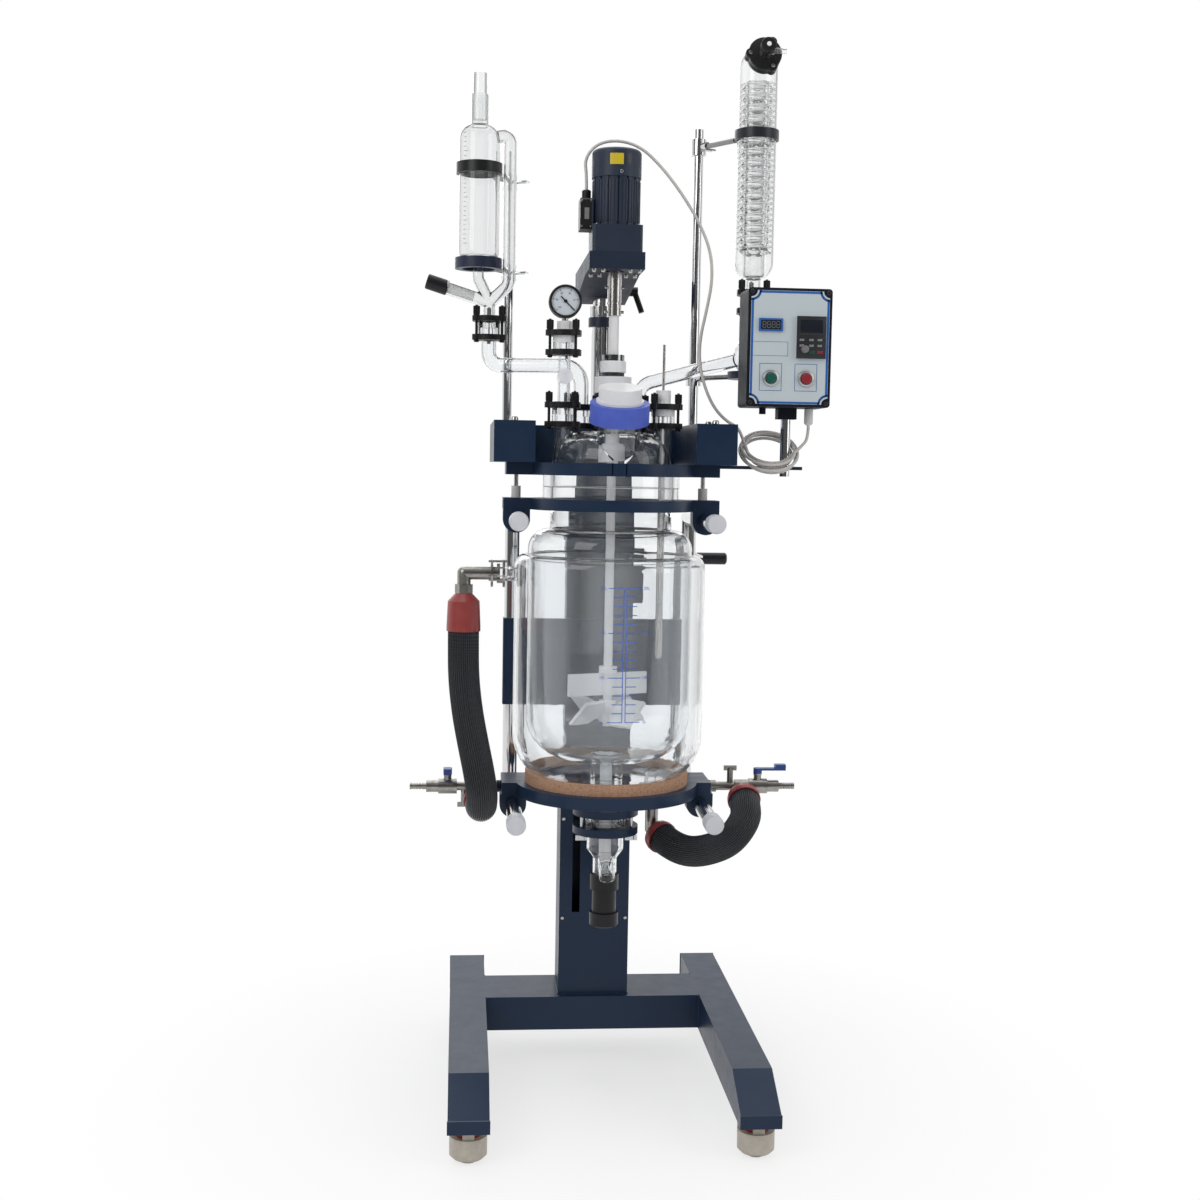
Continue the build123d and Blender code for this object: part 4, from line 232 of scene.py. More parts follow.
class Brushed(Group):
    """Fine lines left by turning or drawing metal, stretched along one direction."""

    title = "brushed"
    inputs = {**WORKED, "Stretch": "Vector"}
    outputs = {"Height": "Float", "Roughness": "Float"}

    @classmethod
    def wired(cls, wire: Wire) -> dict[str, Output]:
        """Wire the group and return what its outputs get."""
        lines = wire.noise(wire.vector("MULTIPLY", VECTOR, ("in", "Stretch")), SCALE, 3.0, 0.7)
        return {"Height": lines, "Roughness": wire.swing(lines, ROUGHNESS, SPREAD)}


class Grains(Group):
    """Pressed cork: cells of two tones with dark flecks."""

    title = "grains"
    inputs = TONED
    outputs = {"Color": "Color", "Height": "Float"}
    fleck_scale, cell_gain, fleck_gain = 0.35, 1.3, 1.7

    @classmethod
    def wired(cls, wire: Wire) -> dict[str, Output]:
        """Wire the group and return what its outputs get."""
        cells = (wire.node("TexVoronoi", Vector=VECTOR, Scale=SCALE, Randomness=1.0), "Distance")
        flecks = wire.noise(VECTOR, wire.math("MULTIPLY", SCALE, cls.fleck_scale), 6.0, 0.75)
        mixed = wire.math("MULTIPLY", wire.math("MULTIPLY", cells, cls.cell_gain, clamp=True), flecks)
        mask = wire.math("MULTIPLY", mixed, cls.fleck_gain, clamp=True)
        return {"Color": wire.mix(mask, ("in", "Light"), ("in", "Dark")), "Height": cells}


class Inside(Group):
    """Mask that is one inside a box between two corners."""

    title = "zone"
    inputs = {"Vector": "Vector", "Low": "Vector", "High": "Vector"}
    outputs = {"Mask": "Float"}

    @classmethod
    def wired(cls, wire: Wire) -> dict[str, Output]:
        """Wire the group and return what its outputs get."""
        above = wire.vector("SUBTRACT", VECTOR, ("in", "Low"))
        below = wire.vector("SUBTRACT", ("in", "High"), VECTOR)
        split = wire.node("SeparateXYZ", wire.vector("MINIMUM", above, below))
        lowest = wire.math("MINIMUM", wire.math("MINIMUM", (split, "X"), (split, "Y")), (split, "Z"))
        return {"Mask": wire.math("GREATER_THAN", lowest, 0.0)}


class Ribs(Group):
    """Lengthwise ribs of a woven sleeve, crossed by fine stitches, on a tube's own map; the mask picks the
    ridges, which the sleeve paints lighter as a highlight.
    """

    title = "ribs"
    inputs = {"Vector": "Vector", "Around": "Float", "Along": "Float"}
    outputs = {"Height": "Float", "Mask": "Float"}
    wobble_scale, wobble, stitch_rise = 9.0, 0.003, 0.3

    @classmethod
    def wired(cls, wire: Wire) -> dict[str, Output]:
        """Wire the group and return what its outputs get."""
        split = wire.node("SeparateXYZ", VECTOR)
        wobble = wire.math("MULTIPLY", wire.noise(VECTOR, cls.wobble_scale, 2.0, 0.5), cls.wobble)
        around = wire.math("MULTIPLY", wire.math("ADD", (split, "Y"), wobble), ("in", "Around"))
        turn = wire.math("MULTIPLY", around, 2 * math.pi)
        ridge = wire.math("MULTIPLY_ADD", wire.math("COSINE", turn), -0.5, 0.5)
        along = wire.math("MULTIPLY", (split, "X"), ("in", "Along"))
        stitch = wire.math("SINE", wire.math("MULTIPLY_ADD", along, 2 * math.pi, turn))
        stitch = wire.math("MULTIPLY_ADD", stitch, 0.5, 0.5)
        height = wire.math("MULTIPLY_ADD", stitch, cls.stitch_rise, ridge)
        # The mask marks where the sleeve paints its highlight colour; the rest gets its painted shade.
        return {"Height": height, "Mask": wire.math("MULTIPLY", ridge, stitch)}


# Finishes


class Pattern(Enum):
    """How a finish's surface is worked."""

    GRAINED = "grained"
    BRUSHED = "brushed"
    CORK = "cork"


@dataclass(frozen=True)
class Zone:
    """Box of the object, in layout millimetres, that has another colour and metalness."""

    low: Point
    high: Point
    colour: Point
    metallic: float
    roughness: float


@dataclass(frozen=True)
class Look:
    """Material that is made once, when a piece first wears it."""

    name: str

    def build(self) -> bpy.types.Material:
        """Make the material, once."""
        material = bpy.data.materials.get(self.name)
        if not material:
            material = bpy.data.materials.new(self.name)
            material.use_nodes = True
            material.diffuse_color = self.paint(Wire(material.node_tree))
        return material

    def paint(self, wire: Wire) -> tuple[float, ...]:
        """Wire the material's tree and return its colour in plain views."""
        raise NotImplementedError


@dataclass(frozen=True)
class Finish(Look):
    """Opaque finish with tone drift, surface grain and zones of other colours."""

    colour: Point
    shade: Point
    pattern: Pattern = Pattern.GRAINED
    metallic: float = 0.0
    roughness: float = 0.4
    spread: float = 0.25
    grain: float = 900.0
    depth: float = 0.00006
    drift: float = 14.0
    contrast: float = 1.6
    coat: float = 0.0
    coat_roughness: float = 0.15
    gloss: float = 0.4
    stretch: Point = (1.0, 1.0, 0.03)
    zones: tuple[Zone, ...] = ()

    def paint(self, wire: Wire) -> tuple[float, ...]:
        """Wire the material's tree and return its colour in plain views."""
        where = wire.place("Object")
        colour, rough, height = self.surface(wire, where)
        metal: Feed = self.metallic
        for zone in self.zones:
            low, high = tuple(at(*zone.low)), tuple(at(*zone.high))
            mask = (wire.group(Inside, Vector=where, Low=low, High=high), "Mask")
            colour = wire.mix(mask, colour, (*zone.colour, 1.0))
            rough = wire.blend(mask, rough, zone.roughness)
            metal = wire.blend(mask, metal, zone.metallic)
        wire.feed(SHADER, {
            "Base Color": colour, "Roughness": rough, "Metallic": metal, "Specular IOR Level": self.gloss,
            "Coat Weight": self.coat, "Coat Roughness": self.coat_roughness,
            "Normal": wire.bump(height, self.depth),
        })
        return (*self.colour, 1.0)

    def surface(self, wire: Wire, where: Output) -> tuple[Output, Output, Output]:
        """Place the pattern's groups.

        Args:
            wire: The material's tree.
            where: The coordinates that the pattern reads.

        Returns:
            The outputs for colour, roughness and height.
        """
        tones = {"Vector": where, "Light": (*self.colour, 1.0), "Dark": (*self.shade, 1.0)}
        worked = {"Vector": where, "Scale": self.grain, "Roughness": self.roughness, "Spread": self.spread}
        if self.pattern is Pattern.CORK:
            cork = wire.group(Grains, Scale=self.grain, **tones)
            return (cork, "Color"), (wire.group(Skin, **worked), "Roughness"), (cork, "Height")
        tone = wire.group(Drift, Scale=self.drift, Contrast=self.contrast, **tones)
        if self.pattern is Pattern.BRUSHED:
            work = wire.group(Brushed, Stretch=self.stretch, **worked)
        else:
            work = wire.group(Skin, **worked)
        return (tone, "Color"), (work, "Roughness"), (work, "Height")


@dataclass(frozen=True)
class Glass(Look):
    """Clear or frosted glass with a faint tint and slight waves."""

    tint: Point = (0.968, 0.980, 0.988)
    clear: float = 0.989
    roughness: float = 0.0
    spread: float = 0.01
    ior: float = 1.45
    wave: float = 22.0
    depth: float = 0.00012

    def paint(self, wire: Wire) -> tuple[float, ...]:
        """Wire the material's tree and return its colour in plain views."""
        skin = wire.group(
            Skin, Vector=wire.place("Object"), Scale=self.wave, Roughness=self.roughness, Spread=self.spread)
        wire.feed(SHADER, {
            "Base Color": (*self.tint, 1.0), "Transmission Weight": self.clear, "IOR": self.ior,
            "Metallic": 0.0, "Roughness": (skin, "Roughness"),
            "Normal": wire.bump((skin, "Height"), self.depth),
        })
        shadow = wire.node("BsdfTransparent", Color=(*self.tint, 1.0))
        path = wire.node("LightPath")
        mixer = wire.node("MixShader", (path, "Is Shadow Ray"), (SHADER, "BSDF"), (shadow, "BSDF"))
        wire.feed("Material Output", {"Surface": (mixer, "Shader")})
        return (*self.tint, 0.3)


@dataclass(frozen=True)
class Sleeve(Look):
    """Woven black sleeve of a heating hose, ribbed lengthwise, with a painted highlight on its ridges and
    painted shade in the gaps between them.
    """

    name: str = "black_sleeve"
    # Ridge colour, lighter as a painted highlight, and gap colour, near black as painted shade between the
    # ribs.
    thread_highlight: Point = (0.060, 0.067, 0.082)
    gap: Point = (0.003, 0.0035, 0.005)
    around: float = 44.0
    along: float = 120.0
    depth: float = 0.0004
    gap_roughness: float = 0.5
    thread_roughness: float = 0.25

    def paint(self, wire: Wire) -> tuple[float, ...]:
        """Wire the material's tree and return its colour in plain views."""
        ribs = wire.group(Ribs, Vector=wire.place("UV"), Around=self.around, Along=self.along)
        mask = (ribs, "Mask")
        # Base colour: painted highlight on the ridge stitches, painted shade in the gaps between ribs.
        wire.feed(SHADER, {
            "Base Color": wire.mix(mask, (*self.gap, 1.0), (*self.thread_highlight, 1.0)),
            "Roughness": wire.blend(mask, self.gap_roughness, self.thread_roughness),
            "Normal": wire.bump((ribs, "Height"), self.depth),
        })
        return (*self.gap, 1.0)


GRIP_BLACK = (0.012, 0.012, 0.013)
# Holder arm steel, darkened to stand in for dark reflections: painted shade on the arms.
SHADED_ARM_STEEL = (0.30, 0.30, 0.30)
BARE_WHITE = (0.72, 0.72, 0.72)
BRUSHED = Pattern.BRUSHED

NAVY = Finish(
    "navy_powder_coat", (0.012, 0.029, 0.066), (0.009, 0.022, 0.052), roughness=0.36, coat=0.03, grain=700.0,
    gloss=0.24)
BRACKET_NAVY = Finish(
    "bracket_paint", (0.017, 0.028, 0.052), (0.013, 0.022, 0.042), roughness=0.55, grain=700.0, gloss=0.18)
HOLDER = Finish(
    "holder_paint", (0.022, 0.030, 0.062), (0.016, 0.023, 0.050), grain=700.0, gloss=0.35,
    zones=(
        Zone((-290, 60, 1692), (-190, 161.5, 1728), GRIP_BLACK, 0.0, 0.35),
        Zone((220, 60, 1760), (320, 161.5, 1800), (0.018, 0.021, 0.028), 0.0, 0.35),
        # Both arm zones take the darkened steel: painted shade.
        Zone((-262, 162, 1500), (-150, 290, 1780), SHADED_ARM_STEEL, 1.0, 0.24),
        Zone((150, 165, 1340), (300, 290, 1820), SHADED_ARM_STEEL, 1.0, 0.24),
    ))
SLATE = Finish(
    "motor_slate_coat", (0.022, 0.033, 0.058), (0.017, 0.026, 0.047), roughness=0.45, grain=800.0, gloss=0.35,
    zones=(Zone((-90, -40, 1580), (-45.0, 40, 1670), (0.010, 0.010, 0.011), 0.0, 0.45),))
CHROME = Finish(
    "polished_steel", (0.72, 0.72, 0.73), (0.64, 0.64, 0.65), BRUSHED, metallic=1.0, roughness=0.10,
    spread=0.08, grain=500.0, depth=0.00001,
    zones=(Zone((-27, 232, 1440), (27, 286, 1459.2), (0.019, 0.026, 0.050), 0.0, 0.4),))
STEEL = Finish(
    "turned_steel", (0.56, 0.55, 0.53), (0.44, 0.43, 0.42), BRUSHED, metallic=1.0, roughness=0.25,
    grain=700.0, depth=0.00004, drift=60.0)
CRANK_STEEL = replace(
    STEEL, name="crank_steel",
    zones=(Zone((208.2, 333, 973), (275, 365, 1005), (0.010, 0.012, 0.017), 0.0, 0.45),))
PIPE_STEEL = Finish(
    "cast_steel", (0.40, 0.385, 0.36), (0.26, 0.25, 0.235), metallic=1.0, roughness=0.32, spread=0.3,
    grain=420.0, depth=0.0001, drift=90.0, contrast=2.4)
STUDS = Finish(
    "stud_steel", (0.60, 0.60, 0.60), (0.50, 0.50, 0.50), BRUSHED, metallic=1.0, roughness=0.25,
    grain=600.0, depth=0.00003,
    zones=(Zone((-200, 0, 1113.6), (200, 60, 1134.4), (0.70, 0.70, 0.69), 0.0, 0.5),))
WHITE = Finish(
    "white_fluoropolymer", (0.80, 0.80, 0.805), (0.72, 0.72, 0.73), roughness=0.38, spread=0.2,
    grain=160.0, depth=0.00004, drift=30.0)
SEAL_WHITE = replace(
    WHITE, name="seal_fluoropolymer", colour=(0.80, 0.80, 0.81), shade=(0.72, 0.72, 0.735),
    zones=(
        Zone((-26, -26, 1359.2), (26, 26, 1371), (0.30, 0.30, 0.31), 1.0, 0.16),
        # Groove below the seal's body, painted dark as shade in the recess.
        Zone((-26, -26, 1331.2), (26, 26, 1338.8), (0.03, 0.03, 0.032), 0.0, 0.4),
    ))
BLACK = Finish(
    "black_moulding", (0.012, 0.012, 0.0135), (0.008, 0.008, 0.009), roughness=0.42, spread=0.3,
    grain=1100.0, depth=0.00008, gloss=0.3)
KNOB_BLACK = Finish(
    "black_knob", (0.013, 0.0135, 0.017), (0.009, 0.009, 0.011), roughness=0.38, grain=1000.0,
    depth=0.00007, gloss=0.3,
    zones=(
        Zone((-60, -60, 357.6), (60, 60, 700), BARE_WHITE, 0.0, 0.38),
        Zone((-296.9, 80, 1400), (-180, 160, 1560), BARE_WHITE, 0.0, 0.38),
    ))
RING_BLUE = Finish(
    "blue_screw_ring", (0.075, 0.125, 0.56), (0.058, 0.096, 0.46), BRUSHED, roughness=0.45, spread=0.15,
    grain=260.0, depth=0.0001, stretch=(0.1, 0.1, 1.6), drift=40.0)
LEVER_BLUE = Finish(
    "blue_grip", (0.022, 0.06, 0.26), (0.016, 0.045, 0.19), roughness=0.3,
    zones=(Zone((-340, 0, 560), (340, 90, 606), (0.45, 0.44, 0.42), 1.0, 0.3),))
RED_CAP = Finish(
    "red_cap", (0.32, 0.054, 0.049), (0.24, 0.038, 0.035), roughness=0.34, spread=0.3,
    grain=300.0, depth=0.00010, drift=50.0, coat=0.1)
CASTER_GREY = Finish(
    "warm_grey_nylon", (0.55, 0.50, 0.43), (0.43, 0.39, 0.33), roughness=0.5, grain=500.0,
    depth=0.0001, drift=70.0, contrast=2.2)
WHEEL_RUBBER = Finish(
    "caster_tread", (0.025, 0.025, 0.027), (0.015, 0.015, 0.016), roughness=0.6, grain=600.0,
    depth=0.0001, drift=80.0)
JACK_RED = Finish(
    "red_jack", (0.38, 0.025, 0.02), (0.28, 0.017, 0.015), grain=600.0, depth=0.00008,
    zones=(
        Zone((-400, -400, -1), (400, 600, 5.2), (0.02, 0.02, 0.02), 0.0, 0.7),
        Zone((-400, -400, 5.2), (400, 600, 45.2), (0.5, 0.5, 0.5), 1.0, 0.3),
    ))
CORK = Finish(
    "pressed_cork", (0.60, 0.36, 0.23), (0.32, 0.18, 0.115), Pattern.CORK, roughness=0.8, spread=0.1,
    grain=420.0, depth=0.0005)
CABLE = Finish("grey_cable", (0.56, 0.54, 0.52), (0.48, 0.46, 0.44), grain=500.0, depth=0.00003)
CASE = Finish(
    "box_case", (0.012, 0.015, 0.024), (0.009, 0.011, 0.018), roughness=0.55, depth=0.00008,
    gloss=0.12,
    zones=(
        Zone((228, -68, 1280), (384, -60.05, 1492), (0.50, 0.56, 0.585), 0.0, 0.35),
        Zone((338, -30, 1240), (372, 20, 1281), (0.65, 0.65, 0.64), 0.0, 0.4),
    ))
GREEN = Finish("green_button", (0.008, 0.105, 0.075), (0.006, 0.08, 0.058), roughness=0.3)
RED = Finish("red_button", (0.31, 0.025, 0.036), (0.24, 0.018, 0.027), roughness=0.3)
DIAL_WHITE = Finish("dial_white", (0.58, 0.63, 0.68), (0.54, 0.59, 0.64))
PRINT_BLACK = Finish("print_black", (0.010, 0.010, 0.011), (0.008, 0.008, 0.009), roughness=0.5)
PRINT_BLUE = Finish("print_blue", (0.012, 0.11, 0.60), (0.010, 0.095, 0.52), roughness=0.5)
BORDER = Finish("panel_border", (0.022, 0.12, 0.42), (0.018, 0.10, 0.37), roughness=0.32)
YELLOW = Finish("yellow_label", (0.60, 0.46, 0.02), (0.54, 0.41, 0.018))
DISPLAY = Finish("display_dark", (0.014, 0.018, 0.026), (0.011, 0.014, 0.020), roughness=0.12)
KEYPAD = Finish("keypad_grey", (0.030, 0.031, 0.036), (0.023, 0.024, 0.028), roughness=0.35)
SILVER = Finish(
    "silver_foil", (0.50, 0.50, 0.51), (0.42, 0.42, 0.44), BRUSHED, metallic=0.8, roughness=0.35)
CLEAR = Glass("clear_glass")
SMALL_GLASS = Glass("column_glass", tint=(0.92, 0.93, 0.93))
SHELL_GLASS = Glass("condenser_glass", tint=(0.97, 0.975, 0.975))
COIL_GLASS = Glass("coil_glass", tint=(0.98, 0.985, 0.985), clear=0.97, wave=140.0, depth=0.0004)
FROSTED = Glass("frosted_plastic", tint=(0.84, 0.85, 0.88), clear=0.6, roughness=0.42, ior=1.35, wave=90.0)

WORN: dict[Look, str] = {
    NAVY: "base_frame column upper_frame neck_ring base_ring carriage discharge_rings",
    BRACKET_NAVY: "drive_bracket", HOLDER: "glass_holders", CHROME: "support_rods lift_posts",
    STEEL: "instruments stirrer_coupling", CRANK_STEEL: "crank", STUDS: "lift_fasteners",
    PIPE_STEEL: "pipe_fittings", SLATE: "gear_motor", SEAL_WHITE: "ptfe_fittings", WHITE: "stirrer",
    FROSTED: "stopcock_key", KNOB_BLACK: "funnel_knob discharge_knob", SILVER: "speed_knob",
    BLACK: "clamp_plates clamp_bolts condenser_knob clamp_lever discharge_collar hose_left hose_right",
    PRINT_BLACK: "gauge_needle", RING_BLUE: "port_ring", CORK: "cork_ring", RED_CAP: "hose_caps",
    LEVER_BLUE: "valve_lever_left valve_lever_right", CASE: "control_box", GREEN: "start_button",
    RED: "stop_button", CLEAR: "vessel_glass lid_glass glass_arms discharge_glass",
    SMALL_GLASS: "funnel_glass", SHELL_GLASS: "condenser", CABLE: "motor_cable cord_coil box_lead",
    CASTER_GREY: "caster", WHEEL_RUBBER: "wheel", JACK_RED: "foot",
}


def dress() -> None:
    """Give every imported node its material; the casters' nodes go by the first word of their names."""
    looks = {name: look for look, names in WORN.items() for name in names.split()}
    for name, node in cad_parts.items():
        look = looks.get(name) or looks[name.split("_")[0]]
        node.data.materials.clear()
        node.data.materials.append(look.build())


# Mesh tools


def meshed(helper: bpy.types.Object) -> bpy.types.Mesh:
    """Mesh of a curve or text as it stands."""
    graph = bpy.context.evaluated_depsgraph_get()
    return bpy.data.meshes.new_from_object(helper.evaluated_get(graph))


def drop(helper: bpy.types.Object) -> None:
    """Take a helper and its curve out of the scene."""
    curve = helper.data
    bpy.data.objects.remove(helper)
    bpy.data.curves.remove(curve)


def curl(verts: object, r: float) -> None:
    """Wrap vertices of a flat shape, which faces forward, to a radius about the upright axis."""
    for vert in verts:
        angle, depth = vert.co.x / r, -vert.co.y
        vert.co.x, vert.co.y = math.sin(angle) * depth, -math.cos(angle) * depth


def raised(part: bmesh.types.BMesh, height: float) -> list[bmesh.types.BMVert]:
    """Extrude all faces upwards and return the new vertices."""
    grown = bmesh.ops.extrude_face_region(part, geom=part.faces[:])
    top = [e for e in grown["geom"] if isinstance(e, bmesh.types.BMVert)]
    bmesh.ops.translate(part, verts=top, vec=(0, 0, height))
    return top


@dataclass
class Shape:
    """A mesh in the making, in layout millimetres, and the ways it is added to."""

    mesh: bmesh.types.BMesh = field(default_factory=bmesh.new)

    def rod(self, start: Point, end: Point, r: float, sides: int = 32) -> None:
        """Closed cylinder between two points, with a number of sides."""
        low, high = Vector(start), Vector(end)
        line = high - low
        turn = Matrix.Translation((low + high) / 2) @ line.to_track_quat("Z", "Y").to_matrix().to_4x4()
        bmesh.ops.create_cone(
            self.mesh, cap_ends=True, segments=sides, radius1=r, radius2=r, depth=line.length, matrix=turn)

    def block(self, low: Point, high: Point, turn: Matrix | None = None) -> None:
        """Box between two corners, turned as asked."""
        a, b = Vector(low), Vector(high)
        matrix = Matrix.Translation((a + b) / 2) @ Matrix.Diagonal((*(b - a), 1.0))
        bmesh.ops.create_cube(self.mesh, size=1.0, matrix=(turn or Matrix.Identity(4)) @ matrix)

    def lathe(self, profile: list[tuple[float, float]], start: Point, direction: Point,
              steps: int = 48) -> None:
        """Turned shape about an axis.

        Args:
            profile: Points (distance along the axis, radius), an open line from axis to axis or a closed ring.
            start: Point the distances are measured from.
            direction: The axis.
            steps: Faces round it.
        """
        part = bmesh.new()
        verts = [part.verts.new((r, 0, z)) for z, r in profile]
        edges = [part.edges.new(pair) for pair in zip(verts, verts[1:])]
        if profile[0][1] > 0 and profile[-1][1] > 0:
            edges.append(part.edges.new((verts[-1], verts[0])))
        bmesh.ops.spin(
            part, geom=verts + edges, cent=(0, 0, 0), axis=UP, angle=2 * math.pi, steps=steps, use_merge=True)
        bmesh.ops.remove_doubles(part, verts=part.verts, dist=0.001)
        bmesh.ops.recalc_face_normals(part, faces=part.faces)
        turn = Vector(direction).to_track_quat("Z", "Y").to_matrix().to_4x4()
        bmesh.ops.transform(part, matrix=Matrix.Translation(Vector(start)) @ turn, verts=part.verts)
        self.join(part)

    def join(self, part: bmesh.types.BMesh) -> None:
        """Take in another mesh and free it."""
        made = bpy.data.meshes.new("part")
        part.to_mesh(made)
        self.mesh.from_mesh(made)
        part.free()
        bpy.data.meshes.remove(made)

    def strip(self, low: tuple[float, float], high: tuple[float, float], r: float, rise: float,
              lift: float = 0.0, cuts: int = 0) -> None:
        """Thin bar wrapped to a radius about the upright axis.

        Args:
            low: Its left and lower ends, flat.
            high: Its right and upper ends, flat.
            r: The radius.
            rise: Its thickness.
            lift: How far its middle stands off the radius.
            cuts: Cuts across its length, which let it bend.
        """
        part = bmesh.new()
        middle = ((low[0] + high[0]) / 2, -r - lift, (low[1] + high[1]) / 2)
        size = Matrix.Diagonal((high[0] - low[0], rise, high[1] - low[1], 1.0))
        bmesh.ops.create_cube(part, size=1.0, matrix=Matrix.Translation(middle) @ size)
        if cuts:
            edges = [e for e in part.edges if abs(e.verts[0].co.x - e.verts[1].co.x) > 0.01]
            bmesh.ops.subdivide_edges(part, edges=edges, cuts=cuts, use_grid_fill=True)
        curl(part.verts, r)
        self.join(part)

    def words(self, text: str, size: float, place: Vector, wrap: float = 0.0) -> None:
        """Raised figures that face forward.

        Args:
            text: The figures.
            size: Their height in millimetres.
            place: Their middle.
            wrap: Radius they are wrapped to, about the vertical axis through the layout's origin.
        """
        curve = bpy.data.curves.new("words", "FONT")
        curve.body = text
        curve.size = size * 1.4
        curve.align_x = curve.align_y = "CENTER"
        curve.extrude = 0.12
        curve.resolution_u = 3
        helper = put("words", curve)
        made = meshed(helper)
        made.transform(Matrix.Translation(place) @ UPRIGHT)
        if wrap:
            curl(made.vertices, wrap)
        self.mesh.from_mesh(made)
        drop(helper)
        bpy.data.meshes.remove(made)

    def finish(self, name: str, look: Look, slot: str, body: str = "stand", bevel: float = 0.0,
               sharp: float = 32.0) -> None:
        """Turn the shape into a piece of the object, at the origin with its place in its mesh.

        Args:
            name: Name of the piece.
            look: Its look.
            slot: The record's material that it stands for; not used.
            body: The body it rides on.
            bevel: Width of a bevel on its sharp edges, in millimetres.
            sharp: Angle in degrees past which an edge stays sharp.
        """
        limit = math.radians(sharp)
        self.mesh.normal_update()
        if bevel:
            edges = [e for e in self.mesh.edges if len(e.link_faces) == 2 and e.calc_face_angle(0) > limit]
            bmesh.ops.bevel(
                self.mesh, geom=edges, offset=bevel, segments=2, profile=0.5, affect="EDGES", material=-1,
                clamp_overlap=True)
            self.mesh.normal_update()
        for face in self.mesh.faces:
            face.smooth = True
        for edge in self.mesh.edges:
            if len(edge.link_faces) == 2 and edge.calc_face_angle(0) > limit:
                edge.smooth = False
        bmesh.ops.translate(self.mesh, verts=self.mesh.verts, vec=-MIDDLE)
        bmesh.ops.scale(self.mesh, verts=self.mesh.verts, vec=(0.001, 0.001, 0.001))
        data = bpy.data.meshes.new(name)
        self.mesh.to_mesh(data)
        self.mesh.free()
        data.materials.append(look.build())
        piece = put(name, data)
        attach(piece, body)
        log.info("%s: %d faces on %s", name, len(data.polygons), body)


def boxes(name: str, look: Look, slot: str, corners: list[tuple[Point, Point]], bevel: float = 0.0) -> None:
    """Piece of plain boxes on the stand, each between two corners."""
    shape = Shape()
    for low, high in corners:
        shape.block(low, high)
    shape.finish(name, look, slot, bevel=bevel)


def turned(name: str, look: Look, slot: str, profile: list[tuple[float, float]], places: list[Point],
           direction: Point = FORWARD, body: str = "stand", steps: int = 48) -> None:
    """Piece of one turned profile at each place, as Shape.lathe and Shape.finish take them."""
    shape = Shape()
    for place in places:
        shape.lathe(profile, place, direction, steps)
    shape.finish(name, look, slot, body)


def screws(name: str, look: Look, rows: list[tuple[list[Point], Point, float, float]]) -> None:
    """Steel piece of round screw heads with sockets: places, direction, radius and height of each row."""
    shape = Shape()
    for places, out, r, height in rows:
        profile = [(-0.6, 0.0), (-0.6, r), (height * 0.55, r), (height, r * 0.72), (height, r * 0.42),
                   (height * 0.4, r * 0.40), (height * 0.4, 0.0)]
        for place in places:
            shape.lathe(profile, place, out, steps=18)
    shape.finish(name, look, "steel")



# Sub-assemblies


def smooth_line(name: str, points: tuple[Point, ...], r: float, look: Look) -> bpy.types.Object:
    """Round cord on one smooth curve.

    Args:
        name: Name of the piece.
        points: Its control points in layout millimetres.
        r: Its radius in millimetres, none for a bare line.
        look: Its look.

    Returns:
        The curve object.
    """
    curve = bpy.data.curves.new(name, "CURVE")
    curve.dimensions = "3D"
    spline = curve.splines.new("NURBS")
    spline.points.add(len(points) - 1)
    for point, place in zip(spline.points, points):
        point.co = (*at(*place), 1.0)
    spline.order_u = 3
    spline.use_endpoint_u = True
    curve.resolution_u = 10
    curve.bevel_depth = mm(r)
    curve.bevel_resolution = 4 if r else 0
    curve.use_fill_caps = True
    curve.materials.append(look.build())
    return put(name, curve)


